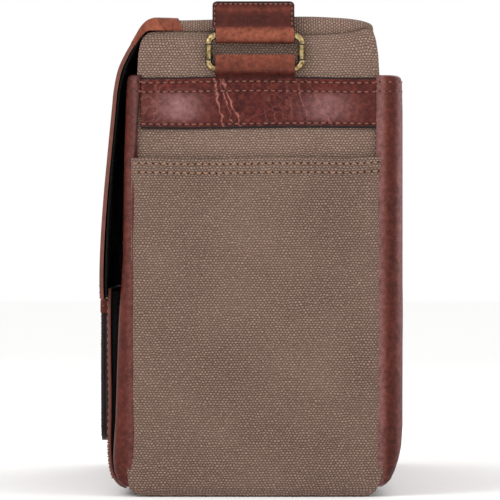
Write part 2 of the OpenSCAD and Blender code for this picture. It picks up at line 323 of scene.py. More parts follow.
def mix(tree, factor, a, b):
    """Mixes two colours and returns the socket."""
    return add(tree, "ShaderNodeMix", {0: factor, 6: a, 7: b}, data_type="RGBA").outputs[2]


def ramp(tree, value, low, high):
    """0 below low, 1 above high."""
    return add(tree, "ShaderNodeMapRange", {0: value, 1: low, 2: high}, clamp=True).outputs[0]


# %% [markdown]
# Waxed canvas is a plain weave of thick cotton yarn. Each weft yarn shows as a short rounded stitch
# 2.0 mm long in rows 1.5 mm high, and each row starts half a stitch along, like bricks. Slubs and
# worn wax make some crossings paler, and the hollows between yarns are dark.

# %% Canvas


def canvas(name, dark, middle, light, stitch=(2.0, 1.48), patchy=0.16):
    material, tree, bsdf = new_material(name, Roughness=0.88, IOR=1.45, Specular_IOR_Level=0.15,
                                        Sheen_Weight=0.04, Sheen_Roughness=0.5)
    uv = add(tree, "ShaderNodeUVMap", uv_map="UVMap").outputs[0]
    wander = add(tree, "ShaderNodeTexNoise", {"Vector": uv, "Scale": 170, "Detail": 3})
    pull = add(tree, "ShaderNodeVectorMath", {0: wander.outputs["Color"], 1: (0.5, 0.5, 0.5)},
               operation="SUBTRACT")
    pull = add(tree, "ShaderNodeVectorMath", {0: pull.outputs[0], "Scale": 0.0022}, operation="SCALE")
    place = add(tree, "ShaderNodeVectorMath", {0: uv, 1: pull.outputs[0]}, operation="ADD")
    part = add(tree, "ShaderNodeSeparateXYZ", {0: place.outputs[0]})
    high = math_node(tree, "DIVIDE", part.outputs[1], stitch[1] * MM)
    row = math_node(tree, "FLOOR", high)
    shift = math_node(tree, "MULTIPLY", math_node(tree, "PINGPONG", row, 1.0), 0.5)
    along = math_node(tree, "ADD", math_node(tree, "DIVIDE", part.outputs[0], stitch[0] * MM), shift)
    waves = [math_node(tree, "SINE", math_node(tree, "MULTIPLY", math_node(tree, "FRACT", v), math.pi))
             for v in (along, high)]
    bump = math_node(tree, "MULTIPLY", waves[0], waves[1])
    cell = add(tree, "ShaderNodeCombineXYZ", {0: math_node(tree, "FLOOR", along), 1: row})
    slub = add(tree, "ShaderNodeTexWhiteNoise", {"Vector": cell.outputs[0]}, noise_dimensions="3D")
    slub = math_node(tree, "ADD", math_node(tree, "MULTIPLY", slub.outputs["Value"], 0.75), 0.25)
    patch = add(tree, "ShaderNodeTexNoise", {"Vector": uv, "Scale": 20, "Detail": 4})
    shade = mix(tree, ramp(tree, bump, 0.02, 0.42), colour(dark), colour(middle))
    pale = math_node(tree, "MULTIPLY", ramp(tree, bump, 0.45, 1.0), slub)
    shade = mix(tree, pale, shade, colour(light))
    fuzz = add(tree, "ShaderNodeTexNoise", {"Vector": uv, "Scale": 620, "Detail": 3})
    shade = mix(tree, math_node(tree, "MULTIPLY", ramp(tree, fuzz.outputs["Fac"], 0.5, 0.7), 0.55), shade, colour(dark))
    wear = math_node(tree, "MULTIPLY", ramp(tree, patch.outputs["Fac"], 0.3, 0.72), patchy)
    tree.links.new(mix(tree, wear, shade, colour(light)), bsdf.inputs["Base Color"])
    height = add(tree, "ShaderNodeBump", {"Strength": 0.7, "Distance": 0.6 * MM, "Height": math_node(
        tree, "ADD", bump, math_node(tree, "MULTIPLY", slub, 0.3))})
    tree.links.new(height.outputs[0], bsdf.inputs["Normal"])
    return material


CANVAS = canvas("waxed_canvas_woven", "#48372f", "#715a50", "#a68c7d")
WORN_CANVAS = canvas("waxed_canvas_worn_woven", "#4f3d35", "#7b6357", "#b09586")
LINING = canvas("black_twill_woven", "#070606", "#0e0c0c", "#1c1918", (1.2, 0.9))
WEBBING = canvas("cotton_webbing_woven", "#241a15", "#42322a", "#6b5746", (1.8, 2.4))
LOOP_CLOTH = canvas("loop_cloth_brushed", "#1b1918", "#2f2b2a", "#454140", (1.3, 1.1))
print("woven materials:", CANVAS.name, LINING.name, WEBBING.name, LOOP_CLOTH.name)

# %% [markdown]
# Oiled pull-up leather is full-grain cow hide, vegetable tanned and waxed. Where it bends, the wax
# moves and the hide shows paler and more orange ("tone"); a tone below zero darkens it, and in some places
# that darkening is painted shade. A dull mauve painted highlight stands in for the lights' reflection on the
# rolls, the band and the flap. Both are stored on the mesh. The pores are about 0.8 mm, the creases 5 mm long,
# and the patches of wax about 40 mm. Scars are lines that wander, each at its own place.

# %% Leather


def scar_line(tree, place, wobble, y, z, lean, width):
    """A scar that crosses Z at height z and place y, both in mm, leaning by lean mm for each mm up."""
    part = add(tree, "ShaderNodeSeparateXYZ", {0: place})
    off = math_node(tree, "SUBTRACT", part.outputs[1], y * MM)
    off = math_node(tree, "SUBTRACT", off, math_node(
        tree, "MULTIPLY", math_node(tree, "SUBTRACT", part.outputs[2], z * MM), lean))
    off = math_node(tree, "ADD", off, wobble)
    return math_node(tree, "SUBTRACT", 1.0, ramp(tree, math_node(tree, "ABSOLUTE", off), 0.0, width * MM))


def leather(name, dark, middle, light, worn, gloss=0.42, veins=0.22, scars=()):
    """Oiled leather: patches and grain, creases, scars, then its tone and a painted highlight from the mesh; a tone
    below zero is in places painted shade.
    """
    material, tree, bsdf = new_material(name, IOR=1.5, Specular_IOR_Level=0.14)
    place = add(tree, "ShaderNodeTexCoord").outputs["Object"]
    patch = add(tree, "ShaderNodeTexNoise", {"Vector": place, "Scale": 70, "Detail": 7, "Roughness": 0.7})
    grain = add(tree, "ShaderNodeTexNoise", {"Vector": place, "Scale": 330, "Detail": 6, "Roughness": 0.7})
    pores = add(tree, "ShaderNodeTexVoronoi", {"Vector": place, "Scale": 1250})
    bend = add(tree, "ShaderNodeTexNoise", {"Vector": place, "Scale": 60, "Detail": 4})
    bent = add(tree, "ShaderNodeVectorMath", {0: bend.outputs["Color"], "Scale": 0.02}, operation="SCALE")
    warped = add(tree, "ShaderNodeVectorMath", {0: place, 1: bent.outputs[0]}, operation="ADD")
    crease = add(tree, "ShaderNodeTexVoronoi", {"Vector": warped.outputs[0], "Scale": 130},
                 feature="DISTANCE_TO_EDGE")
    vein = math_node(tree, "SUBTRACT", 1.0, ramp(tree, crease.outputs["Distance"], 0.0, 0.06))
    where = add(tree, "ShaderNodeTexNoise", {"Vector": place, "Scale": 28, "Detail": 3})
    vein = math_node(tree, "MULTIPLY", vein, ramp(tree, where.outputs["Fac"], 0.46, 0.64))
    vein = math_node(tree, "MULTIPLY", vein, veins)
    wobble = add(tree, "ShaderNodeTexNoise", {"Vector": place, "Scale": 190, "Detail": 4})
    wobble = math_node(tree, "MULTIPLY", math_node(tree, "SUBTRACT", wobble.outputs["Fac"], 0.5), 0.006)
    for y, z, lean, width, strength in scars:
        line = scar_line(tree, place, wobble, y, z, lean, width)
        line = math_node(tree, "MULTIPLY", line, ramp(tree, grain.outputs["Fac"], 0.3, 0.6))
        vein = math_node(tree, "MAXIMUM", vein, math_node(tree, "MULTIPLY", line, strength))
    tone = add(tree, "ShaderNodeAttribute", attribute_name="tone").outputs["Fac"]
    # A mauve-grey painted highlight, stored on the mesh, stands in for the lights' reflection on the leather.
    bloom = add(tree, "ShaderNodeAttribute", attribute_name="bloom").outputs["Fac"]
    base = mix(tree, ramp(tree, patch.outputs["Fac"], 0.3, 0.62), colour(dark), colour(middle))
    broad = add(tree, "ShaderNodeTexNoise", {"Vector": place, "Scale": 9, "Detail": 3})
    base = mix(tree, math_node(tree, "MULTIPLY", ramp(tree, broad.outputs["Fac"], 0.42, 0.7), 0.22), base, colour(light))
    fleck = ramp(tree, grain.outputs["Fac"], 0.44, 0.62)
    base = mix(tree, math_node(tree, "MULTIPLY", fleck, 0.42), base, colour(light))
    drawn = add(tree, "ShaderNodeMapping", {"Vector": warped.outputs[0], "Scale": (700, 260, 700), "Rotation": (0.5, 0, 0)})
    wrinkle = add(tree, "ShaderNodeTexNoise", {"Vector": drawn.outputs[0], "Scale": 1.0, "Detail": 3})
    wrinkle = ramp(tree, wrinkle.outputs["Fac"], 0.5, 0.66)
    uneven = math_node(tree, "ADD", math_node(tree, "MULTIPLY", patch.outputs["Fac"], 1.2),
                       math_node(tree, "SUBTRACT", math_node(tree, "MULTIPLY", grain.outputs["Fac"], 2.2), 0.8))
    lift = math_node(tree, "MULTIPLY", ramp(tree, tone, 0.0, 1.0), uneven)
    base = mix(tree, lift, base, colour(worn))
    base = mix(tree, math_node(tree, "MULTIPLY", wrinkle, 0.3), base, colour(dark))
    base = mix(tree, vein, base, colour("#b9766a" if scars else light))
    # A tone below zero darkens towards near-black: the leather's own darker places, and painted shade on the shells,
    # the band and the anchor tabs.
    base = mix(tree, ramp(tree, math_node(tree, "MULTIPLY", tone, -1.0), 0.0, 1.0), base, colour("#1c0d0c"))
    # Mixes in the painted highlight colour #976f6e.
    base = mix(tree, math_node(tree, "MULTIPLY", bloom, uneven), base, colour("#976f6e"))
    tree.links.new(base, bsdf.inputs["Base Color"])
    rough = add(tree, "ShaderNodeMapRange", {0: patch.outputs["Fac"], 1: 0.3, 2: 0.7, 3: gloss - 0.07, 4: gloss + 0.12})
    tree.links.new(rough.outputs[0], bsdf.inputs["Roughness"])
    rise = math_node(tree, "ADD", math_node(tree, "MULTIPLY", grain.outputs["Fac"], 0.9),
                     math_node(tree, "MULTIPLY", pores.outputs["Distance"], 0.5))
    rise = math_node(tree, "SUBTRACT", rise, math_node(tree, "MULTIPLY", vein, 0.8))
    height = add(tree, "ShaderNodeBump", {"Strength": 0.7, "Distance": 0.45 * MM, "Height": rise})
    tree.links.new(height.outputs[0], bsdf.inputs["Normal"])
    return material


LEATHER = leather("oiled_cow_leather_tanned", "#30110e", "#481b15", "#72352a", "#96533d")
BAND_LEATHER = leather("oiled_band_leather_tanned", "#280b0a", "#451817", "#80392d", "#92503a", gloss=0.38, scars=(
    (-21.5, 252, -0.18, 0.9, 0.9), (-17.5, 252, -0.42, 0.8, 0.85), (-14.5, 238, -0.3, 0.5, 0.7),
    (27, 252, -0.30, 0.5, 0.45), (33, 252, -0.55, 0.45, 0.5), (38, 244, -0.7, 0.4, 0.4), (24, 236, -0.2, 0.4, 0.35)))


def plain_finish(name, low, high, scale, strength, **shader):
    """A finish with two tones of fine noise and a little bump."""
    material, tree, bsdf = new_material(name, **shader)
    place = add(tree, "ShaderNodeTexCoord").outputs["Object"]
    fine = add(tree, "ShaderNodeTexNoise", {"Vector": place, "Scale": scale, "Detail": 4})
    tree.links.new(mix(tree, fine.outputs["Fac"], colour(low), colour(high)), bsdf.inputs["Base Color"])
    height = add(tree, "ShaderNodeBump", {"Strength": strength, "Distance": 0.2 * MM, "Height": fine.outputs["Fac"]})
    tree.links.new(height.outputs[0], bsdf.inputs["Normal"])
    return material


EDGE_PAINT = plain_finish("acrylic_edge_paint_brushed", "#100a0b", "#211518", 300, 0.3, Roughness=0.5, IOR=1.49,
                           Specular_IOR_Level=0.2)
RAW_EDGE = plain_finish("cut_leather_edge_burnished", "#3f1912", "#7c402e", 260, 0.4, Roughness=0.5, IOR=1.5)
STRAP_EDGE = plain_finish("strap_edge_dyed_polished", "#180e10", "#2e2022", 160, 0.3, Roughness=0.42, IOR=1.5,
                           Specular_IOR_Level=0.25)
RUST_THREAD = plain_finish("waxed_thread_rust_twisted", "#5c2d21", "#935340", 1500, 0.3, Roughness=0.55, IOR=1.5)
TAN_THREAD = plain_finish("cotton_thread_tan_twisted", "#7c543e", "#aa8063", 1500, 0.3, Roughness=0.65, IOR=1.5)
NEEDLE_HOLE = plain_finish("needle_hole_shadow", "#120a09", "#1e1110", 800, 0.1, Roughness=0.9, IOR=1.5)
BOARD = plain_finish("polypropylene_board_pressed", "#151515", "#222222", 500, 0.3, Roughness=0.55, IOR=1.49)

# %% [markdown]
# Antique brass is cast, tumbled and darkened, then rubbed back, so its edges are pale gold and its
# hollows brown. Metal keeps the default IOR. Fine scratches break up its gloss.

# %% Brass


def brass(name, dark, light):
    """Cast brass with a stain in its hollows, a rubbed tone and fine scratches."""
    material, tree, bsdf = new_material(name, Metallic=1.0)
    place = add(tree, "ShaderNodeTexCoord").outputs["Object"]
    stain = add(tree, "ShaderNodeTexNoise", {"Vector": place, "Scale": 620, "Detail": 5})
    scratch = add(tree, "ShaderNodeTexNoise", {"Vector": place, "Scale": 1800, "Detail": 3})
    rubbed = mix(tree, ramp(tree, stain.outputs["Fac"], 0.34, 0.6), colour(dark), colour(light))
    tree.links.new(rubbed, bsdf.inputs["Base Color"])
    rough = add(tree, "ShaderNodeMapRange", {0: stain.outputs["Fac"], 1: 0.3, 2: 0.7, 3: 0.42, 4: 0.24})
    tree.links.new(rough.outputs[0], bsdf.inputs["Roughness"])
    height = add(tree, "ShaderNodeBump", {"Strength": 0.15, "Distance": 0.1 * MM, "Height": scratch.outputs["Fac"]})
    tree.links.new(height.outputs[0], bsdf.inputs["Normal"])
    return material


BRASS = brass("antique_brass_cast", "#68532f", "#bfa97c")
# A darker copy of the brass, for painted shade on the slanted flats of the ring's side bars.
BRASS_PAINTED_SHADE = brass("antique_brass_darkened", "#2c2416", "#6f6040")
PATINA = plain_finish("brass_patina_oxidised", "#120e0a", "#2a2118", 700, 0.3, Roughness=0.6, IOR=1.5)
print(len(bpy.data.materials), "materials")

# %% [markdown]
# The stage is a pale floor under a white sky, with two large soft lights, as in a product studio.
# The camera looks level at the bag's end from a long way off, which keeps its edges parallel.

# %% Camera, lights and floor
view_width = 300 * MM
camera_distance = 2.4
camera_data = bpy.data.cameras.new("camera")
camera_data.lens = camera_data.sensor_width * camera_distance / view_width
camera_data.clip_end = 60
camera = bpy.data.objects.new("camera", camera_data)
camera.location = (leather_end * MM + camera_distance, 0.0002, 0.148)
camera.rotation_euler = (math.radians(90), 0, math.radians(90))
bpy.context.scene.collection.objects.link(camera)
bpy.context.scene.camera = camera
bpy.context.scene.view_settings.view_transform = "Standard"

world = bpy.data.worlds.new("white_sky")
world.use_nodes = True
sky = world.node_tree
sky.nodes["Background"].inputs["Color"].default_value = (1, 1, 1, 1)
sky.nodes["Background"].inputs["Strength"].default_value = 1.0
bpy.context.scene.world = world


def soft_light(name, place, size, power):
    """A square soft light that looks at the middle of the bag."""
    data = bpy.data.lights.new(name, "AREA")
    data.size = size
    data.energy = power
    lamp = bpy.data.objects.new(name, data)
    lamp.location = place
    lamp.rotation_euler = (Vector((0, 0, 0.15)) - Vector(place)).to_track_quat("-Z", "Y").to_euler()
    bpy.context.scene.collection.objects.link(lamp)


soft_light("key_light", (1.3, -1.2, 1.3), 0.9, 15)
soft_light("fill_light", (1.1, 1.5, 0.8), 0.9, 5)
soft_light("back_light", (-1.6, 0.6, 1.3), 1.0, 8)

floor_material, tree, bsdf = new_material("studio_floor_painted", Roughness=0.9)
bsdf.inputs["Base Color"].default_value = colour("#fbfbfa")
reach = 9 / MM
floor = mesh_object("floor", [(-reach, -reach, -0.05), (reach, -reach, -0.05), (reach, reach, -0.05),
                              (-reach, reach, -0.05)], [(0, 1, 2, 3)], floor_material)
print("lens", round(camera_data.lens), "mm")

# %% [markdown]
# The canvas end panels are cut with round top corners and bulge a little, because the cloth is sewn
# to stiffer walls all round. A flat plate would look like board, so each row of the grid has its own
# width, and the face crowns and rumples by about a millimetre.

# %% Canvas end panels


def eased(low, high, count):
    """Values that crowd together near both ends."""
    return [low + (high - low) * (0.5 - 0.5 * math.cos(math.pi * i / (count - 1))) for i in range(count)]


front_cloth = [(0, -60), (1.5, -64.5), (5, -66.5), (225, -68), (252, -67.6), (266, -66.8), (272, -65.6),
               (276, -63.6), (278.4, -60.5), (279, -56)]
back_cloth = [(0, 69), (2, 74), (6, 76), (30, 77.5), (252, 78), (266, 77.2), (274, 75.8), (279, 74.1)]
crease_line = [(-66, 279.4), (-20, 279.1), (5, 278.3), (30, 277.5), (46, 277.5), (57, 278.5), (63, 279.6),
               (68, 280.8), (71, 280.8), (73, 280.0), (74.5, 279.4)]


def panel_face(y, z):
    """How far out the end canvas lies at a place."""
    crown = 0.9 * (1 - ((y - 5) / 75) ** 2) * step(z, 0, 60) * (1 - step(z, 268, 280))
    dent = -0.8 * step(z, 250, 262) * math.exp(-((y - ring_y) / 26) ** 2)
    pinched = step(y, 64, 71)
    round_top = -1.9 * step(z, 270, 279.5) ** 2 * (1 - 0.6 * pinched)
    return cloth_end + crown + dent + round_top + 0.45 * rumple((0, y, z), 38, 4)


for side, s in SIDES:
    rows = []
    for z in eased(0, panel_high.z, 84):
        row = []
        for y in eased(between(z, front_cloth), between(z, back_cloth), 60):
            lift = z + (between(y, crease_line) + 0.3 * step(y, 67, 69) - panel_high.z) * step(z, 262, 279)
            row.append((s * panel_face(y, lift), y, lift))
        rows.append(row)
    panel = sheet("canvas_end_" + side, rows, 2.6, (s, 0, 0), WORN_CANVAS, round_mm=0.9)
    belongs(panel, "bag", "canvas", "end_panel_" + side)

# %% [markdown]
# The long canvas walls show above the leather, front and back, and lean in at the top. They are two
# plain sheets. The base is a third, and the bag stands on it.

# %% Long canvas walls and base
wall_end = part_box("front_canvas")[1].x / MM
front_line = [(2.3, -66.8), (262, -66.8), (268, -66.2), (273.5, -63), (277.5, -60), (279, -58.6)]
back_line = [(2.3, 75.8), (255, 75.9), (268, 75.4), (279, 73.6)]
for name, line, out, node in (("canvas_front_wall", front_line, -1, "front_canvas"),
                              ("canvas_back_wall", back_line, 1, "back_canvas")):
    rows = [[(x, between(z, line) + out * 0.35 * rumple((x, 0, z), 45, 9), z) for x in spread(-wall_end, wall_end, 70)]
            for z in eased(line[0][0], line[-1][0], 60)]
    belongs(sheet(name, rows, 1.8, (0, out, 0), CANVAS, round_mm=0.6), "bag", "canvas", node)
base_low, base_high = edges("base_canvas")
rows = [[(x, y, 0) for x in spread(base_low.x, base_high.x, 60)] for y in spread(base_low.y, base_high.y, 30)]
belongs(sheet("canvas_base", rows, base_high.z - 0.1, (0, 0, -1), CANVAS), "bag", "canvas", "base_canvas")

# %% [markdown]
# The slip pocket is a second layer of the same canvas, hemmed at the top and caught under the leather
# at its sides. Its hem is three layers thick, so it stands out half a millimetre, and its foot swells
# over the corner of the base. The hem's line wavers, as hand-guided sewing does.

# %% End pockets
pocket_front = [(0.5, -65), (2, -69), (5, -72.2), (15, -73.6), (36, -72.2), (50, -71.2), (203, -71)]
pocket_back = [(0.5, 70.4), (2.5, 74.5), (6, 77), (15, 79.9), (34, 79.1), (70, 79), (203, 78.8)]
hem_depth = 9.4


def hem_z(y):
    """Height of the pocket's top edge, which wavers and lifts towards the back."""
    return pocket_high.z + 0.35 * math.sin(y / 17) + 1.3 * step(y, 52, 82)


def pocket_face(y, z):
    """How far out the slip pocket's canvas lies at a place."""
    t = (y - 4) / 76
    crown = 1.1 * (1 - t * t) * (1 - step(z, 150, 203) * 0.75)
    foot = 0.9 * (1 - step(z, 4, 26))
    tuck = -0.9 * step(abs(t), 0.94, 1.0)
    hem = 0.55 * step(z, hem_z(y) - hem_depth - 0.6, hem_z(y) - hem_depth + 0.2)
    under = -1.6 * (1 - step(z, 0.5, 8)) ** 2
    return pocket_end + crown + foot + tuck + hem + under + 0.4 * rumple((0, y, z), 30, 2)


for side, s in SIDES:
    rows = []
    for t in eased(0, 1, 110):
        z0 = pocket_low.z + 0.1
        z = z0 + (pocket_high.z - z0) * t
        row = []
        for y in eased(between(z, pocket_front), between(z, pocket_back), 60):
            lift = z + (hem_z(y) - pocket_high.z) * step(t, 0.9, 1)
            row.append((s * pocket_face(y, lift), y, lift))
        rows.append(row)
    pocket = sheet("canvas_pocket_" + side, rows, 1.4, (s, 0, 0), CANVAS, round_mm=0.55)
    belongs(pocket, "bag", "canvas", "end_pocket_" + side)

# %% [markdown]
# The front and back leathers are padded and turn round the bag's corners onto its ends, where they
# make soft rolls. Each is lofted upwards from rings that follow its plan: out round one corner,
# along the face and round the other corner. A loft keeps the roll round from foot to top.

# %% Leather shells
front_reach = [(6, 75), (7.5, 77.4), (10, 79.4), (15, 81.2), (22, 82), (34, 81.4), (46, 80.6), (70, 79.9),
               (94, 79.1), (118, 77.8), (142, 76.2), (205, 75.4), (240, 74.2), (251, 73.3), (252.4, 72.8), (253, 71.8)]
back_reach = [(6, 79.6), (7.5, 82.2), (10, 84.8), (15, 87.2), (22, 89.5), (30, 91.2), (42, 92.1), (230, 92.1),
              (249, 91.7), (251.3, 91.0), (252.5, 89.8), (253, 88.2)]
front_inner = [(6, 65), (120, 67.4), (150, 68.4), (203, 68.6), (222, 67.6), (253, 64.8)]
back_inner = [(6, 74.5), (200, 75.6), (253, 75.8)]


def shell_ring(z, table, inner, corner, roll, sy, wall):
    """Plan of a leather shell at a height, as one closed ring."""
    reach = between(z, table)
    edge = min(between(z, inner), reach - 3)
    shrink = 1.2 * step(z, 251.6, 253) ** 2
    corner = min(corner, (reach - edge) * 0.72)
    face = leather_end + 0.3 - shrink
    half = [(cloth_end + 0.3, edge), (face - 0.5, edge + 0.05), (face - 0.1, edge + 0.45)]
    start = reach - corner
    for t in spread(0.12, 1, 9):
        y = edge + (start - edge) * t
        bulge = roll * math.sin(math.pi * min(t, 0.98)) ** 0.8 if t < 1 else 0
        half.append((face + bulge + 0.25 * rumple((0, y, z), 24, 6), y))
    for a in spread(10, 90, 9):
        turn = math.radians(a)
        half.append((face - corner + corner * math.cos(turn), reach - corner + corner * math.sin(turn)))
    flat = [(x, reach + 0.5 * rumple((x, 0, z), 42, 12)) for x in spread(face - corner - 4, -face + corner + 4, 60)]
    other = [(-x, y) for x, y in reversed(half)]
    inside = [(x, wall) for x in spread(-cloth_end - 0.3, cloth_end + 0.3, 24)]
    return [(x, sy * y, z) for x, y in half + flat + other + inside]


shell_levels = sorted(set([6, 6.6, 7.5, 8.6, 10, 12.5] + spread(15, 249, 76) + [250.4, 251.3, 252, 252.5, 252.8, 253]))
shells = {}
for name, table, inner, corner, roll, sy, wall, nodes in (
        ("leather_front", front_reach, front_inner, 4.6, 0.9, -1, 67.3, ("front_leather", "front_padding")),
        ("leather_back", back_reach, back_inner, 8.5, 1.3, 1, 76.3, ("back_leather", "back_padding"))):
    rings = [shell_ring(z, table, inner, corner, roll, sy, wall) for z in shell_levels]
    shell = loft(name, rings, LEATHER)

    def roll_tone(p):
        """Paler with pull-up where the back roll bends; painted shade along the front roll's inner edge and where the
        back roll turns its corner; darker above about 200 mm on the front, and at the foot.
        """
        reach = abs(p.y)
        on_end = step(abs(p.x), leather_end - 9, leather_end - 4)
        if sy < 0:
            # Painted shade along the front roll's inner edge, where it meets the canvas.
            inner_edge = 1 - step(reach - between(p.z, front_inner), 0.2, 2.2)
            front = 0.02 * step(reach, 70, 73) - 0.3 * inner_edge - 0.12 * step(p.z, 190, 215)
            return on_end * front - 0.25 * (1 - step(p.z, 6, 12))
        # Painted shade where the back roll turns round its corner, between its two highlights.
        painted_roll_shade = math.exp(-((reach - 85.2) / 1.9) ** 2)
        return on_end * (0.2 * math.exp(-((reach - 81) / 2.5) ** 2) - 0.16 * painted_roll_shade) - 0.25 * (1 - step(p.z, 6, 12))

    def roll_painted_highlight(p):
        """Painted highlight on the high parts of the roll and, at the back, on its outer rim."""
        reach = abs(p.y)
        on_end = step(abs(p.x), leather_end - 9, leather_end - 4)
        if sy < 0:
            # Painted highlight along the crown of the front roll.
            upper = step(p.z, 203, 215)
            crown = 68.9 * upper + 71.5 * (1 - upper)
            return on_end * (0.14 + 0.04 * upper) * math.exp(-((reach - crown) / 1.9) ** 2)
        # Painted highlights at the back roll's inner edge and at its outer rim.
        inner = 1 - step(reach, 78.6, 82.4)
        rim = step(reach, 87, 90.6)
        return on_end * (0.42 * inner + 0.6 * rim * (0.5 + 0.5 * step(p.z, 60, 200)))

    set_tone(shell, roll_tone)
    set_painted_highlight(shell, roll_painted_highlight)
    shells[name] = belongs(shell, "bag", "leather", *nodes)
    print(name, len(shell.data.polygons), "faces")

# %% [markdown]
# A leather band is sewn across each end, with painted edges. It is pulled flat between its rows of
# stitches and stands up a little between them.

# %% Leather bands
band_rows = (250.2, 243.4, 222.6)


def band_face(y, z):
    """How far out the band lies at a place."""
    rise = 0.35 * math.sin(math.pi * step(z, 223.5, 242.5)) + 0.2 * math.sin(math.pi * step(z, 244, 249.8))
    wave = 0.35 * rumple((0, y, z), 22, 15)
    return leather_end + rise + wave


def band_top(y):
    """Height of the band's top edge, which dips between its ends."""
    return band_high.z + 0.5 * math.cos(y / 21) - 0.2


for side, s in SIDES:
    rows = []
    for t in [0, 0.02, 0.04] + spread(0.06, 0.94, 26) + [0.97, 1]:
        row = []
        for y in spread(band_low.y - 0.6, band_high.y + 0.6, 80):
            z = band_low.z + (band_top(y) - band_low.z) * t + 0.4 * math.sin(y / 24) * (1 - t)
            row.append((s * band_face(y, z), y, z))
        rows.append(row)
    band = sheet("leather_band_" + side, rows, 2.1, (s, 0, 0), BAND_LEATHER, EDGE_PAINT, 0.5)
    # Edge paint in a stripe on the face along the top and bottom edges, widened so that it also stands in for painted
    # shade there.
    paint(band, lambda p: p.z < band_low.z + 1.5 + 0.4 * math.sin(p.y / 24) or p.z > band_top(p.y) - 0.9)
    # The tone darkens the band towards both ends, and along its lower edge as painted shade.
    set_tone(band, lambda p: -0.2 * step(abs(p.y - 5), 55, 70) - 0.25 * (1 - step(p.z, 223, 226)))
    # Two soft mauve painted highlights on the band's face, where the lights would reflect.
    set_painted_highlight(band, lambda p: (0.66 * math.exp(-((p.y + 43) / 12) ** 2) + 0.46 * math.exp(-((p.y - 46) / 14) ** 2))
              * math.exp(-((p.z - 234) / 8.5) ** 4))
    belongs(band, "bag", "leather", "end_band_" + side)

# %% [markdown]
# The flap's canvas top is a shallow lid whose ends roll down to the seam. The leather part goes on
# from it over the front corner. Both are sheets, and the same easing rolls their ends down, so that
# they meet along one line.

# %% Flap
flap_floor = top_low.z - 0.3
roll_depth = 5.0


def roll_section(x):
    """Where a point at x on the flap's sheet goes: (x, share of the height), rolled round and under."""
    flat = cloth_end - roll_depth
    if abs(x) <= flat:
        return x, 1.0
    turn = (abs(x) - flat) / roll_depth * math.radians(140)
    low = math.cos(math.radians(140))
    return math.copysign(flat + roll_depth * math.sin(turn), x), (math.cos(turn) - low) / (1 - low)


end_steps = spread(cloth_end - roll_depth, cloth_end, 15)
flap_x = [-x for x in reversed(end_steps)] + spread(-cloth_end + roll_depth + 4, cloth_end - roll_depth - 4, 70) + end_steps
leather_rear = flap_high.y
top_line = [(leather_rear - 3, 286.4), (-20, 286.9), (0, 287.5), (30, 288.5), (52, 287.6), (64, 286.5), (71, 284.9),
            (73.6, 283.4), (74.3, 281.6), (74.4, flap_floor)]
top_path = spline([(y, z, 0) for y, z in top_line], 70)
rows = []
for p in top_path:
    floor_z = min(between(p.x, crease_line) + 0.15, p.y - 0.3)
    row = []
    for x in flap_x:
        rolled_x, share = roll_section(x)
        lumps = 0.6 * rumple((x, p.x, 0), 34, 21) * step(p.y, flap_floor, flap_floor + 5)
        tucked = 0.9 * step(p.x, 64, 71) * step(abs(x), cloth_end - roll_depth, cloth_end)
        under = 3.2 * (1 - share) * step(p.x, 69, 74.4)
        row.append((rolled_x - math.copysign(tucked, x), p.x - under, floor_z + (p.y + lumps - floor_z) * share))
    rows.append(row)
flap_top = sheet("canvas_flap_top", rows, 1.9, (0, 0, 1), WORN_CANVAS, round_mm=0.5)

flap_curve = [(leather_rear, 287.2), (-52, 287.5), (-58.6, 287.3), (-62.6, 284.4), (-66.2, 280), (-70.5, 273.2),
              (-74.6, 266.2), (-79, 256.6), (-81.6, 245), (-83, 233), (-85.6, 208), (-88, 178), (-89.3, 152),
              (-90, 132), (-90, 118.6)]
flap_path = spline([(y, z, 0) for y, z in flap_curve], 96)
rows = []
for p in flap_path:
    on_top = step(p.x, -66, -59)
    floor_z = min(between(p.x, crease_line) + 0.1, p.y - 0.3)
    row = []
    for x in flap_x:
        rolled_x, share = roll_section(x)
        rolled_x = x + (rolled_x + math.copysign(0.8, x) * step(abs(x), cloth_end - roll_depth, cloth_end) - x) * on_top
        drop = on_top * (1 - share) * (p.y - floor_z)
        slant = 3.2 * (1 - share) * step(p.x, -56, leather_rear)
        lumps = 0.6 * rumple((x, p.x, p.y), 60, 30) * (1 - on_top)
        row.append((rolled_x, p.x - lumps + slant, p.y - drop + 0.4 * on_top))
    rows.append(row)
flap_leather = sheet("leather_flap", rows, 2.3, (0, -0.5, 1), LEATHER, RAW_EDGE, 0.8)


def flap_tone(p):
    """Worn pale along the ends and over the front corner."""
    end = step(abs(p.x), cloth_end - 4, cloth_end)
    corner = math.exp(-((p.z - 276) / 8) ** 2)
    high = step(p.z, 278, 282)
    return 0.42 * end * (1 - high) + 0.2 * corner + 0.5 * high * step(abs(p.x), cloth_end - 8, cloth_end - 3)


set_tone(flap_leather, flap_tone)
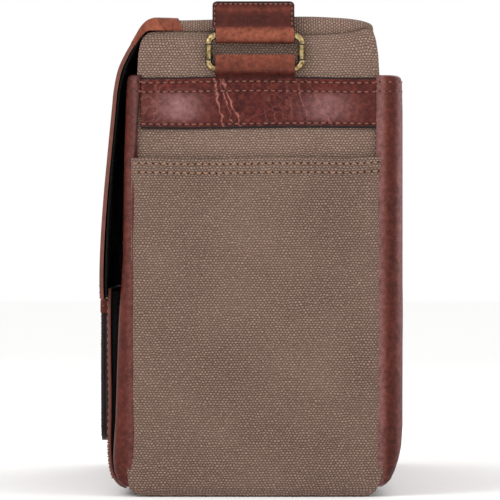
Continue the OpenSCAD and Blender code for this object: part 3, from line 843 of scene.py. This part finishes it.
# A faint painted highlight on the flap's leather near its ends, below about 260 mm.
set_painted_highlight(flap_leather, lambda p: 0.1 * step(abs(p.x), cloth_end - 7, cloth_end - 2) * (1 - step(p.z, 250, 270)))
fold_outer = [(-56.6, 287.7), (-61.4, 286.2), (-65.4, 282.4), (-68.6, 277.2), (-71.6, 272.0)]
fold_inner = [(-50.6, 279.6), (-56.6, 280.0), (-61.6, 279.2), (-65.4, 275.6), (-68.9, 270.6)]
outer_path = spline([(y, z, 0) for y, z in fold_outer], 30)
inner_path = spline([(y, z, 0) for y, z in fold_inner], 30)
for side, s in SIDES:
    rows = []
    for a, b in zip(outer_path, inner_path):
        rows.append([(s * (cloth_end + 1.3 * math.sin(math.pi * (0.25 + 0.6 * k)) - 0.2), a.x + (b.x - a.x) * k,
                      a.y + (b.y - a.y) * k) for k in spread(0, 1, 12)])
    fold = sheet("leather_flap_fold_" + side, rows, 1.3, (s, 0, 0), LEATHER, RAW_EDGE, 0.4)
    set_tone(fold, lambda p: 0.7 + 0.4 * step(p.y, -64, -56) * (1 - step(p.z, 281, 284)))
    belongs(fold, "flap", "leather")
lining_path = spline([(y + 2.9, z - 0.8, 0) for y, z in flap_curve[4:]][:-1] + [(-87, 120.5, 0)], 60)
rows = [[(x, p.x, p.y) for x in spread(-cloth_end + 1.2, cloth_end - 1.2, 40)] for p in lining_path]
lining = sheet("flap_lining_front", rows, 0.8, (0, -1, 0), LINING)
rows = [[(x, y, flap_floor + 0.5) for x in spread(-cloth_end + 2, cloth_end - 2, 40)] for y in spread(-62, 73, 24)]
under = sheet("flap_lining_top", rows, 0.6, (0, 0, -1), LINING)
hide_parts("flap_top")
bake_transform(flap_top)
belongs(flap_leather, "flap", "leather", "flap_leather")
belongs(lining, "flap", "lining", "flap_lining")
belongs(under, "flap", "lining")
print("flap pieces made")

# %% [markdown]
# The front pocket is a leather sheet whose foot turns in under the bag, with black gussets that let
# it open.

# %% Front pocket and gussets
face = fpocket_low.y
pocket_curve = [(face, fpocket_high.z), (face, 90), (face + 0.4, 58), (face, 30), (face + 1, 17), (face + 3.2, 10),
                (face + 7, 5.6), (face + 11, 3.9)]
pocket_path = spline([(y, z, 0) for y, z in pocket_curve], 70)
half_pocket = fpocket_high.x
rows = [[(x, p.x + 0.3 * rumple((x, 0, p.y), 50, 41) * step(p.y, 8, 30), p.y)
         for x in spread(-half_pocket, half_pocket, 80)] for p in pocket_path]
front_pocket = sheet("leather_front_pocket", rows, 2.0, (0, -1, 0), LEATHER, RAW_EDGE, 0.6)
set_tone(front_pocket, lambda p: 0.5 * step(p.z, 121, 125) + 0.3 * step(abs(p.x), half_pocket - 3, half_pocket))
belongs(front_pocket, "bag", "leather", "front_pocket")
# The black gusset cloth runs down to 9 mm, below where the CAD gusset ends; that lower part is a dark sheet put in as
# painted shade in the gap between pocket and leather.
for side, s in SIDES:
    rows = []
    for z in spread(9, fpocket_high.z - 2, 40):
        inner = -between(z, front_reach) - 0.2
        outer = min(face + 2.3 + max(0, 14 - z) * 0.45, inner - 0.3)
        rows.append([(s * (half_pocket - 3.5 + 1.6 * math.sin(math.pi * t)), outer + (inner - outer) * t, z)
                     for t in spread(0, 1, 9)])
    gusset = sheet("pocket_gusset_cloth_" + side, rows, 0.8, (s, 0, 0), LINING, round_mm=0.2)
    belongs(gusset, "bag", "lining", "pocket_gusset_" + side)

# %% [markdown]
# A sheet that follows a line in the X-Z plane and runs across Y makes every strap end: the anchor
# tab, the strap tab and the webbing.

# %% Strap helper


def across_strap(name, line, middle, half_width, thickness, out, material, edge, count=60, round_mm=0.4):
    """A strap whose line is given as (x, z) points; half_width may depend on the share of the way."""
    path = spline([(x, z, 0) for x, z in line], count)
    rows = []
    for i, p in enumerate(path):
        low, high = half_width(i / (count - 1)) if callable(half_width) else (-half_width, half_width)
        rows.append([(p.x, middle + y, p.y) for y in spread(low, high, 26)])
    return sheet(name, rows, thickness, out, material, edge, round_mm)


# %% [markdown]
# Leather tabs hold the brass ring. The lower one comes up from behind the band and folds over the
# ring's bar; the upper one, the strap's own end, is folded round the top bar and stitched flat.

# %% Anchor tabs and strap tabs
bar_x = (ring_low.x + ring_high.x) / 2
anchor_half = (anchor_high.y - anchor_low.y) / 2
tab_half = (tab_high.y - tab_low.y) / 2
tab_top = tab_high.z
out_x = anchor_high.x
for side, s in SIDES:
    line = [(189.9, 250.9), (191.4, 252.6), (194.4, 254.2), (out_x - 1.0, 257.2), (out_x - 0.9, 260.6),
            (out_x - 2.4, 263.6), (194.0, anchor_high.z + 0.1), (190.6, 263.8), (189.2, 260), (188.9, 252.5)]
    line = [(s * x, z) for x, z in line]
    anchor = across_strap("leather_anchor_tab_" + side, line, ring_y, anchor_half, 1.9, (s, 0, 0.2),
                          LEATHER, EDGE_PAINT, 60)
    paint(anchor, lambda p: abs(p.y - ring_y) > anchor_half - 0.8)
    # Paler with pull-up where the tab folds over the ring, and darker at its foot as painted shade, where it goes down
    # behind the band's top edge.
    set_tone(anchor, lambda p: 0.3 + 0.2 * step(p.z, 259, 264) - 0.7 * (1 - step(p.z, 251, 257)))
    belongs(anchor, "bag", "leather", "anchor_tab_" + side)

    line = [(193.7 + 1.9, tab_top), (195.7, 290), (195.8, 283), (196.1, 279.5), (195.9, 275.4), (194.6, 272.6),
            (bar_x - 0.2, tab_low.z), (190.0, 273.2), (189.2, 277), (190.3, 280.5), (190.9, 283)]
    line = [(s * x, z) for x, z in line]

    def tab_width(t):
        """The stitched part is a little wider at the front, and its top corners are round."""
        lead = t * 40
        corner = 2.6
        cut_off = 0 if lead > corner else corner - math.sqrt(max(corner ** 2 - (corner - lead) ** 2, 0))
        wide = 1.8 * (1 - step(lead, 14, 17))
        return -tab_half - wide + cut_off, tab_half - 0.3 * (wide > 0) - cut_off

    tab = across_strap("leather_strap_tab_" + side, line, ring_y, tab_width, 1.9, (s, 0, 0), LEATHER,
                       EDGE_PAINT, 90)
    paint(tab, lambda p: p.y - ring_y > tab_half - 0.9 or p.y - ring_y < -tab_half + 0.7 - 1.8 * step(p.z, 280, 283)
          or p.z > tab_top - 0.7)
    set_tone(tab, lambda p: 0.8 * math.exp(-((p.z - 277.2) / 4.2) ** 4) - 0.35 * step(p.z, 280, 284)
             * (1 - 0.7 * step(p.z, 288, 292)) + 0.25 * step(p.z, 287, 292) * (1 - step(p.z, 292, 295)))
    belongs(tab, "ring_" + side, "leather", "strap_tab_" + side)

# %% [markdown]
# The ring is cast antique brass: straight bars with eight flats at the sides, and rounder bars that
# bend in at the corners, with a groove where they meet. A section swept along the ring's line makes
# each stretch.

# %% Brass rings


def tube(points, radius, sides, closed):
    """Verts and faces of a tube along points; the section's flats face outwards."""
    verts, faces = [], []
    n = len(points)
    for i, p in enumerate(points):
        a = points[i - 1] if closed or i > 0 else p
        b = points[(i + 1) % n] if closed or i < n - 1 else p
        along = (b - a).normalized()
        side_way = along.cross(Vector((1, 0, 0))).normalized()
        up = Vector((1, 0, 0))
        r = radius(i / (n - 1)) if callable(radius) else radius
        for k in range(sides):
            turn = 2 * math.pi * (k + 0.5) / sides
            verts.append(p + side_way * (r * math.cos(turn)) + up * (r * math.sin(turn)))
    for i in range(n if closed else n - 1):
        for k in range(sides):
            j, m = (i + 1) % n, (k + 1) % sides
            faces.append((i * sides + k, i * sides + m, j * sides + m, j * sides + k))
    if not closed:
        faces.append(tuple(range(sides)))
        faces.append(tuple(range((n - 1) * sides, n * sides))[::-1])
    return verts, faces


def join_meshes(name, parts, material, sharp=40):
    """One closed-piece mesh from several (verts, faces) parts."""
    verts, faces = [], []
    for v, f in parts:
        faces += [tuple(i + len(verts) for i in g) for g in f]
        verts += v
    obj = mesh_object(name, verts, faces, material)
    face_out(obj)
    obj.data.set_sharp_from_angle(angle=math.radians(sharp))
    return obj


half_w = (ring_high.y - ring_low.y) / 2
half_h = (ring_high.z - ring_low.z) / 2
ring_mid_z = (ring_high.z + ring_low.z) / 2
bar_r = 2.2
corner_r = 7.2
side_bar = half_h - corner_r
for side, s in SIDES:
    parts = []
    centre = Vector((s * bar_x, ring_y, ring_mid_z))
    for sy in (1, -1):
        bar = [centre + Vector((0, sy * (half_w - 2.4), z)) for z in (-4.1, 0, 4.1)]
        parts.append(tube(bar, 2.6, 8, False))
        line = []
        for a in spread(-90, 0, 14):
            turn = math.radians(a)
            line.append(centre + Vector((0, sy * (half_w - corner_r + (corner_r - bar_r) * math.cos(turn)),
                                         -side_bar + (corner_r - bar_r) * math.sin(turn))))
        arc_up = [Vector((p.x, p.y, 2 * ring_mid_z - p.z)) for p in line]
        middle_low = Vector((centre.x, ring_y, line[0].z))
        middle_high = Vector((centre.x, ring_y, arc_up[0].z))
        parts.append(tube([middle_low] + line, 2.05, 16, False))
        parts.append(tube([middle_high] + arc_up, 2.05, 16, False))
    for sy in (1, -1):
        for sz in (1, -1):
            groove = [centre + Vector((0, sy * (half_w - 2.4), sz * d)) for d in (4.0, 5.0)]
            parts.append(tube(groove, 2.3, 12, False))
    ring = join_meshes("brass_ring_" + side, parts, [BRASS, PATINA, BRASS_PAINTED_SHADE])
    paint(ring, lambda p: 4.02 < abs(p.z - ring_mid_z) < 5.1 and abs(p.y - ring_y) > half_w - 4.9)
    # The side bars' flats that do not face straight out get the darker brass copy, as painted shade.
    for flat in ring.data.polygons:
        on_bar = abs(flat.center.z / MM - ring_mid_z) < 4.05 and abs(flat.center.y / MM - ring_y) > half_w - 4.9
        if on_bar and abs(flat.normal.x) < 0.9:
            flat.material_index = 2
    belongs(ring, "ring_" + side, "antique_brass", "strap_ring_" + side)
print("rings", round(2 * half_w, 1), "by", round(2 * half_h, 1), "mm")

# %% [markdown]
# The shoulder strap is folded in three on the flap and moves with it. Slack at each end crosses to
# the bag and then to the ring, as short stretches of their own. The slack is drawn
# up outside the flap's end, and its weave is packed there.

# %% Shoulder strap
layers = [strap_low.z + (strap_high.z - strap_low.z) * (i + 0.5) / 3 for i in range(3)]
web_half = (strap_high.y - strap_low.y) / 2
web_t = 2.0
fold_x = 164
join_x = 176
turn_x = 192.6

web = [(x, layers[2] + 1) for x in spread(join_x, -fold_x + 12, 12)]
web += [(-fold_x, layers[2] - 0.2), (-fold_x - 2.2, layers[1] + 1.6), (-fold_x, layers[1] + 0.6)]
web += [(x, layers[1] + 0.7) for x in spread(-fold_x + 14, fold_x - 14, 9)]
web += [(fold_x, layers[1] + 0.6), (fold_x + 2.2, layers[0] + 1.6), (fold_x, layers[0] + 0.9)]
web += [(x, layers[0] + 0.9) for x in spread(fold_x - 14, -join_x, 12)]
middle = across_strap("webbing_middle", web, ring_y, web_half, web_t, (0, 0, -1), WEBBING, WEBBING, 420, 0.5)
belongs(middle, "flap", "webbing", "shoulder_strap")
for side, s, start_z in (("right", 1, layers[2] + 1), ("left", -1, layers[0] + 0.9)):
    line = [(s * join_x, start_z), (s * (join_x + 5), start_z), (s * (cloth_end - 1), (start_z + 294.6) / 2),
            (s * (cloth_end + 2), 294.7), (s * turn_x, 293.9)]
    piece = across_strap("webbing_crossing_" + side, line, ring_y, web_half, web_t, (0, 0, 1), WEBBING, WEBBING, 80, 0.4)
    weave = piece.data.uv_layers["UVMap"].data
    for loop in piece.data.loops:
        x = abs(piece.data.vertices[loop.vertex_index].co.x) / MM
        weave[loop.index].uv.y += 0.1 * step(x, cloth_end - 3.5, turn_x)
    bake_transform(piece)
    line = [(s * (turn_x - 0.6), 294.1), (s * (turn_x + 0.6), 293.4), (s * 193.6, 291.4), (s * 193.5, 288),
            (s * 193.3, 284.2), (s * 192.6, 281.4)]
    piece = across_strap("webbing_end_" + side, line, ring_y, web_half, web_t, (s * 0.5, 0, 1), WEBBING, WEBBING, 40, 0.4)
    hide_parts("strap_end_" + side)
    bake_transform(piece)

# %% [markdown]
# A slider of brass wire sits on the webbing: a flat frame with a bar across its middle.

# %% Strap slider
slider_low, slider_high = edges("strap_slider")
mid_x = (slider_low.x + slider_high.x) / 2
wire = 1.1
slider_z = layers[2] + 1.6
half_sx, half_sy = (slider_high.x - slider_low.x) / 2 - wire, web_half + 1.4
frame_line = []
for cx, cy, first in ((1, 1, 0), (-1, 1, 90), (-1, -1, 180), (1, -1, 270)):
    for a in spread(first, first + 90, 7):
        turn = math.radians(a)
        frame_line.append(Vector((cx * (half_sx - 3) + 3 * math.cos(turn), cy * (half_sy - 3) + 3 * math.sin(turn), 0)))


def flat_wire(points, closed):
    """A wire tube that lies in the X-Y plane."""
    turned = [Vector((0, p.x, p.y)) for p in points]
    verts, faces = tube(turned, wire, 10, closed)
    return [Vector((mid_x + v.y, ring_y + v.z, slider_z + v.x)) for v in verts], faces


cross_bar = [Vector((0, y, 0)) for y in spread(-half_sy, half_sy, 5)]
slider = join_meshes("brass_slider", [flat_wire(frame_line, True), flat_wire(cross_bar, False)], BRASS)
belongs(slider, "flap", "antique_brass", "strap_slider")

# %% [markdown]
# Each closure strap is two leathers glued back to back, with dyed edges and a round tip, so it is two
# thin sheets with a fine gap between them. A leather keeper joins it to the flap.

# %% Closure straps and keepers
closure_x = (closure_low.x + closure_high.x) / 2
closure_half = (closure_high.x - closure_low.x) / 2
for side, s in SIDES:
    for layer, y0, out in (("outer", closure_low.y, -1), ("inner", closure_high.y, 1)):
        rows = []
        for z in eased(closure_low.z, closure_high.z, 70):
            rise = z - closure_low.z
            w = closure_half if rise > closure_half else math.sqrt(max(closure_half ** 2 - (closure_half - rise) ** 2, 0.3))
            bow = -0.25 * math.sin(math.pi * rise / 84) if out < 0 else 0.0
            rows.append([(s * closure_x + x, y0 + bow, z) for x in spread(-w, w, 18)])
        strap = sheet("closure_strap_" + layer + "_" + side, rows, 2.3, (0, out, 0), LEATHER, STRAP_EDGE, 0.7)
        set_tone(strap, lambda p: -0.25)
        belongs(strap, "closure_" + side, "strap_leather", *(["closure_strap_" + side] if out < 0 else []))
    rings = []
    for z, inset in ((109, 0.5), (109.3, 0.15), (110, 0), (116.5, 0), (117.4, 0.2), (117.9, 0.8)):
        ring = []
        half_x, half_y = keeper_high.x - closure_x - inset, (keeper_high.y - keeper_low.y) / 2 - inset
        mid_y = (keeper_high.y + keeper_low.y) / 2
        for cx, cy, first in ((1, 1, 0), (-1, 1, 90), (-1, -1, 180), (1, -1, 270)):
            for a in spread(first, first + 90, 5):
                turn = math.radians(a)
                ring.append((s * closure_x + cx * (half_x - 1.4) + 1.4 * math.cos(turn),
                             mid_y + cy * (half_y - 1.4) + 1.4 * math.sin(turn), z))
        rings.append(ring)
    keeper = loft("leather_keeper_" + side, rings, LEATHER)
    set_tone(keeper, lambda p: 0.2)
    belongs(keeper, "closure_" + side, "leather", "closure_keeper_" + side)

# %% [markdown]
# Snaps and rivets are turned on a lathe, so a profile spun round an axis makes them.

# %% Snaps and rivets


def turned(profile, centre, out, segments=24):
    """Verts and faces of a turned piece; profile is (radius, height) pairs along out, which is -Y or +Y."""
    verts, faces = [], []
    for r, h in profile:
        for k in range(segments):
            a = 2 * math.pi * k / segments
            verts.append(Vector(centre) + Vector((r * math.cos(a), out * h, r * math.sin(a))))
    n = len(profile)
    for i in range(n - 1):
        for k in range(segments):
            m = (k + 1) % segments
            faces.append((i * segments + k, i * segments + m, (i + 1) * segments + m, (i + 1) * segments + k))
    faces.append(tuple(range(segments)))
    faces.append(tuple(range((n - 1) * segments, n * segments))[::-1])
    return verts, faces


snap_low, snap_high = edges("snap_bases")
rivet_low, rivet_high = edges("pocket_rivets")
snap_z, rivet_z = (snap_low.z + snap_high.z) / 2, (rivet_low.z + rivet_high.z) / 2
snap_profile = [(5, 0), (5, 0.45), (4.7, 0.68), (3.9, 0.7), (3.6, 0.45), (3.2, 0.45), (2.9, 0.7), (1.2, 0.7)]
rivet_profile = [(2.7, 0), (2.65, 0.3), (2.2, 0.58), (1.2, 0.69), (0.4, 0.7)]
cap_profile = [(6, 0), (6, 1.15), (5.6, 1.38), (4.2, 1.4), (3.9, 1.0), (0.4, 1.0)]
for name, z, profile in (("snap_bases", snap_z, snap_profile), ("pocket_rivets", rivet_z, rivet_profile)):
    parts = [turned(profile, (x, snap_high.y, z), -1) for x in (-closure_x, closure_x)]
    belongs(join_meshes("brass_" + name, parts, BRASS), "bag", "antique_brass", name)
for side, s in SIDES:
    cap_low, cap_high = edges("snap_cap_" + side)
    parts = [turned(cap_profile, (s * closure_x, cap_low.y, snap_z), 1)]
    belongs(join_meshes("brass_snap_cap_" + side, parts, BRASS), "closure_" + side, "antique_brass", "snap_cap_" + side)

# %% [markdown]
# Inside is a padded insert: foam panels covered in brushed loop cloth, which the dividers' hooks grip.
# Each panel is a thin closed pad, pinned along its sewn edge and along one line of stitching, and
# cloth simulation puffs it up between them.

# %% Padded insert and dividers
seam_in = 9.0


def pad(name, node, cell=8.0):
    """A padded panel that fills a CAD node's box."""
    low, high = edges(node)
    size = high - low
    thin = min(range(3), key=lambda i: size[i])
    a, b = [i for i in range(3) if i != thin]
    counts = [max(int(size[i] / cell), 8) for i in (a, b)]
    steps = [[0, 1.2, seam_in - 1.5, seam_in, seam_in + 1.5] for _ in (a, b)]
    lines = []
    for k, i in enumerate((a, b)):
        middle = spread(seam_in + 6, size[i] - seam_in - 6, counts[k])
        lines.append(steps[k] + middle + [size[i] - v for v in reversed(steps[k])])
    verts, uvs, pinned = [], [], []
    for face_side in (0, 1):
        for v in lines[1]:
            for u in lines[0]:
                edge_gap = min(u, v, size[a] - u, size[b] - v)
                at_edge, at_seam = edge_gap < 0.1, abs(edge_gap - seam_in) < 0.1
                depth = 2.2 if at_edge else 1.3 if at_seam else 0.75
                place = [0, 0, 0]
                place[a], place[b] = low[a] + u, low[b] + v
                place[thin] = low[thin] + depth if face_side == 0 else high[thin] - depth
                if at_edge or at_seam:
                    pinned.append(len(verts))
                verts.append(place)
                uvs.append((u, v))
    nu, nv = len(lines[0]), len(lines[1])
    faces = grid_faces(nv, nu) + [tuple(i + nu * nv for i in f)[::-1] for f in grid_faces(nv, nu)]
    rim = list(range(nu)) + [nu * r + nu - 1 for r in range(1, nv)]
    rim += [nu * (nv - 1) + c for c in range(nu - 2, -1, -1)] + [nu * r for r in range(nv - 2, 0, -1)]
    for p, q in zip(rim, rim[1:] + rim[:1]):
        faces.append((q, p, p + nu * nv, q + nu * nv))
    obj = mesh_object(name, verts, faces, LOOP_CLOTH, uvs)
    face_out(obj)
    group = obj.vertex_groups.new(name="sewn")
    group.add(pinned, 1.0, "REPLACE")
    puff = obj.modifiers.new("puff", "CLOTH")
    puff.settings.use_pressure = True
    puff.settings.uniform_pressure_force = 4
    puff.settings.effector_weights.gravity = 0
    puff.settings.vertex_group_mass = "sewn"
    for frame_number in range(1, 21):
        bpy.context.scene.frame_set(frame_number)
    graph = bpy.context.evaluated_depsgraph_get()
    blown = obj.evaluated_get(graph).data
    moved = [v.co.copy() for v in blown.vertices]
    obj.modifiers.clear()
    obj.vertex_groups.clear()
    for v, new in zip(obj.data.vertices, moved):
        gap = new - v.co
        v.co += gap * min(1.0, 0.7 * MM / max(gap.length, 1e-9))
    bpy.context.scene.frame_set(1)
    soften = obj.modifiers.new("soften", "SUBSURF")
    soften.levels = soften.render_levels = 1
    return settle(obj)


for node in ("insert_base", "insert_front", "insert_back", "insert_left", "insert_right"):
    piece = belongs(pad("padded_" + node, node), "bag", "insert_cloth", node)
for node in ("divider_left", "divider_right"):
    piece = belongs(pad("padded_" + node, node), node, "insert_cloth", node)

# %% [markdown]
# The stiff board under the insert is a flat sheet, so the CAD node stays and only gets its finish.

# %% Base board
board = bpy.data.objects["base_board"]
for slot_of_board in board.material_slots:
    slot_of_board.material = BOARD
print("insert made and puffed")

# %% [markdown]
# A lockstitch shows as a short twist of thread between two needle holes. There are thousands, so
# a Geometry Nodes tree lays them: it turns each seam into a curve, cuts it at the stitch pitch, and puts
# a small spindle of thread at each point with a dark hole halfway to the next. Each spindle has a few
# dozen faces. The seams are gathered first, one list for each body and thread. Needle holes on the
# real band are about 4.2 mm apart; the strap tabs' stitches are closer, and their sizes are given separately.

# %% Stitch tree
STITCH_PITCH = 0.0042
STITCH_LENGTH = 0.0029
THREAD_RADIUS = 0.0006
HOLE_RADIUS = 0.00062
TAB_STITCHES = {"Stitch length": 0.0024, "Pitch": 0.0029, "Thread radius": 0.00045}


def socket(tree, name, kind, value):
    """Adds a named input to a node tree."""
    item = tree.interface.new_socket(name, in_out="INPUT", socket_type=kind)
    item.default_value = value
    return item


def stitch_tree():
    """Stitches along the edges of a mesh."""
    tree = bpy.data.node_groups.new("lay_stitches", "GeometryNodeTree")
    tree.interface.new_socket("Geometry", in_out="INPUT", socket_type="NodeSocketGeometry")
    socket(tree, "Pitch", "NodeSocketFloat", STITCH_PITCH)
    socket(tree, "Stitch length", "NodeSocketFloat", STITCH_LENGTH)
    socket(tree, "Thread radius", "NodeSocketFloat", THREAD_RADIUS)
    socket(tree, "Hole radius", "NodeSocketFloat", HOLE_RADIUS)
    socket(tree, "Seed", "NodeSocketInt", 7)
    for name in ("Thread", "Hole"):
        tree.interface.new_socket(name, in_out="INPUT", socket_type="NodeSocketMaterial")
    tree.interface.new_socket("Geometry", in_out="OUTPUT", socket_type="NodeSocketGeometry")
    given = add(tree, "NodeGroupInput").outputs
    curve = add(tree, "GeometryNodeMeshToCurve", {"Mesh": given["Geometry"]})
    points = add(tree, "GeometryNodeCurveToPoints", {"Curve": curve.outputs[0], "Length": given["Pitch"]}, mode="LENGTH")
    thread = add(tree, "GeometryNodeMeshUVSphere", {"Segments": 6, "Rings": 5, "Radius": 1.0})
    half = add(tree, "ShaderNodeMath", {0: given["Stitch length"], 1: 0.5}, operation="MULTIPLY")
    size = add(tree, "ShaderNodeCombineXYZ", {0: given["Thread radius"], 1: given["Thread radius"], 2: half.outputs[0]})
    vary = add(tree, "FunctionNodeRandomValue", {2: 0.85, 3: 1.12, "Seed": given["Seed"]}, data_type="FLOAT")
    sized = add(tree, "ShaderNodeVectorMath", {0: size.outputs[0], "Scale": vary.outputs[1]}, operation="SCALE")
    turn = add(tree, "FunctionNodeAlignRotationToVector", {"Vector": points.outputs["Tangent"]}, axis="Z")
    laid = add(tree, "GeometryNodeInstanceOnPoints", {"Points": points.outputs["Points"], "Instance": thread.outputs["Mesh"],
               "Rotation": turn.outputs[0], "Scale": sized.outputs[0]})
    onward = add(tree, "ShaderNodeMath", {0: given["Pitch"], 1: 0.5}, operation="MULTIPLY")
    shift = add(tree, "ShaderNodeVectorMath", {0: points.outputs["Tangent"], "Scale": onward.outputs[0]}, operation="SCALE")
    between_points = add(tree, "GeometryNodeSetPosition", {"Geometry": points.outputs["Points"], "Offset": shift.outputs[0]})
    hole = add(tree, "GeometryNodeMeshIcoSphere", {"Radius": given["Hole radius"], "Subdivisions": 1})
    holes = add(tree, "GeometryNodeInstanceOnPoints", {"Points": between_points.outputs[0], "Instance": hole.outputs["Mesh"]})
    finished = []
    for part, material in ((laid, "Thread"), (holes, "Hole")):
        real = add(tree, "GeometryNodeRealizeInstances", {"Geometry": part.outputs[0]})
        finished.append(add(tree, "GeometryNodeSetMaterial", {"Geometry": real.outputs[0], "Material": given[material]}))
    joined = add(tree, "GeometryNodeJoinGeometry", {"Geometry": finished[0].outputs[0]})
    tree.links.new(finished[1].outputs[0], joined.inputs[0])
    out = tree.nodes.new("NodeGroupOutput")
    tree.links.new(joined.outputs[0], out.inputs[0])
    return tree


LAY_STITCHES = stitch_tree()
seams = {}


def seam(body, thread, points):
    """Adds one seam, as points in millimetres, to a body's stitching."""
    seams.setdefault((body, thread.name), []).append([Vector(p) for p in points])


def sew(name, body, slot, thread, lines, **sizes):
    """Lays stitches along all the lines and leaves one plain mesh."""
    verts, joins = [], []
    for line in lines:
        joins += [(len(verts) + i, len(verts) + i + 1) for i in range(len(line) - 1)]
        verts += [p * MM for p in line]
    mesh = bpy.data.meshes.new(name)
    mesh.from_pydata(verts, joins, [])
    obj = bpy.data.objects.new(name, mesh)
    bpy.context.scene.collection.objects.link(obj)
    laid = obj.modifiers.new("stitches", "NODES")
    laid.node_group = LAY_STITCHES
    values = {"Thread": thread, "Hole": NEEDLE_HOLE, **sizes}
    for item in LAY_STITCHES.interface.items_tree:
        if item.item_type == "SOCKET" and item.in_out == "INPUT" and item.name in values:
            laid[item.identifier] = values[item.name]
    settle(obj)
    obj.data.shade_smooth()
    belongs(obj, body, slot)
    return len(obj.data.polygons)


# %% [markdown]
# Seams are drawn a little off the surface that they hold, from the same functions that shaped it.

# %% Seams on the bag
for side, s in SIDES:
    for z0, follow in ((band_rows[0], 1.0), (band_rows[1], 0.8), (band_rows[2] + 1.2, 0.0)):
        line = []
        for y in spread(band_low.y + 1.2, band_high.y - 1.2, 70):
            z = z0 + follow * (band_top(y) - band_high.z) - 1.2 * (follow > 0.9) + (1 - follow) * 0.4 * math.sin(y / 24)
            line.append((s * (band_face(y, z) + 0.15), y, z))
        seam("bag", RUST_THREAD, line)
    for below in (3.3, 8.6):
        line = [(s * (pocket_face(y, hem_z(y) - below) + 0.1), y, hem_z(y) - below) for y in spread(-68.5, 75.2, 90)]
        seam("bag", TAN_THREAD, line)
for name, table, inner, corner, roll_mm, sy, wall in (
        ("front", front_reach, front_inner, 4.6, 0.9, -1, 67.3), ("back", back_reach, back_inner, 8.5, 1.3, 1, 76.3)):
    for z in (248.9, 243.2):
        ring = shell_ring(z, table, inner, corner, roll_mm, sy, wall)[3:-25]
        seam("bag", RUST_THREAD, [(x * 0.9982, y - sy * 0.45, z) for x, y, z in ring])
pocket_top = [(x, face - 0.15, fpocket_high.z - 3.5) for x in spread(-half_pocket + 4, half_pocket - 4, 80)]
seam("bag", RUST_THREAD, pocket_top)
for s in (1, -1):
    seam("bag", RUST_THREAD, [(s * (half_pocket - 4), p.x - 0.15, p.y) for p in pocket_path if 12 < p.y < fpocket_high.z - 4])

# %% [markdown]
# The flap is sewn all round, 4 mm in from its edge, and again where its leather meets the canvas top.

# %% Seams on the flap, the straps and the tabs
down = [p for p in flap_path if p.y < 268]
for s in (1, -1):
    seam("flap", RUST_THREAD, [(s * (cloth_end - 4), p.x + 0.4 - 0.6 * rumple((s * (cloth_end - 4), p.x, p.y), 60, 30), p.y)
                               for p in down if p.y > 123])
for above in (4, 8):
    z = flap_low.z + above
    y = -90 + 0.2
    seam("flap", RUST_THREAD, [(x, y - 0.6 * rumple((x, y, z), 60, 30), z) for x in spread(-cloth_end + 5, cloth_end - 5, 90)])
seam("flap", RUST_THREAD, [(x, leather_rear - 3, 287.2) for x in spread(-cloth_end + 9, cloth_end - 9, 90)])
for side, s in SIDES:
    closure_line = []
    w = closure_half - 2.6
    for turn in spread(0, 180, 13):
        a = math.radians(turn)
        closure_line.append((s * closure_x + w * math.cos(a), closure_low.y + 0.1,
                             closure_low.z + closure_half - w * math.sin(a)))
    closure_line = ([(closure_line[0][0], closure_low.y + 0.1, z) for z in spread(107, closure_low.z + closure_half + 3, 20)]
                    + closure_line
                    + [(closure_line[-1][0], closure_low.y + 0.1, z) for z in spread(closure_low.z + closure_half + 3, 107, 20)])
    seam("closure_" + side, RUST_THREAD, closure_line)
    for end in (1, -1):
        seam("closure_" + side, RUST_THREAD, [(s * closure_x + end * (keeper_high.x - closure_x + 0.05), -89.9, 113.6),
                                              (s * closure_x + end * (keeper_high.x - closure_x + 0.05), -87.6, 113.9)])
    edge_x = s * 195.95
    tab_line = [(edge_x, ring_y - tab_half - 0.4, z) for z in spread(283.5, tab_top - 2.0, 12)]
    tab_line += [(edge_x - s * 0.2, y, tab_top - 1.6) for y in spread(ring_y - tab_half + 1.4, ring_y + tab_half - 2.6, 30)]
    tab_line += [(edge_x, ring_y + tab_half - 1.8, z) for z in spread(tab_top - 2.6, 283.5, 12)]
    seam("ring_" + side, RUST_THREAD, tab_line)

count = 0
for (body, thread_name), lines in sorted(seams.items()):
    thread = bpy.data.materials[thread_name]
    slot = "canvas" if thread_name == TAN_THREAD.name else "leather"
    name = "stitches_" + body + ("_hem" if slot == "canvas" else "")
    count += sew(name, body, slot, thread, lines, **(TAB_STITCHES if body.startswith("ring") else {}))
print("stitching:", count, "faces")

# %% [markdown]
# Each canvas or lining piece is a flat cut of cloth that the seams hold stretched, so the size of the
# rectangle it is cut from is printed for it; its flat area is worked out too, but not printed.

for name, (width, length, area) in sorted(cut_sizes.items()):
    piece = bpy.data.objects.get(name)
    if piece and name.startswith(("canvas_", "flap_lining_")):
        print(name, "cut", round(width), "by", round(length), "mm")
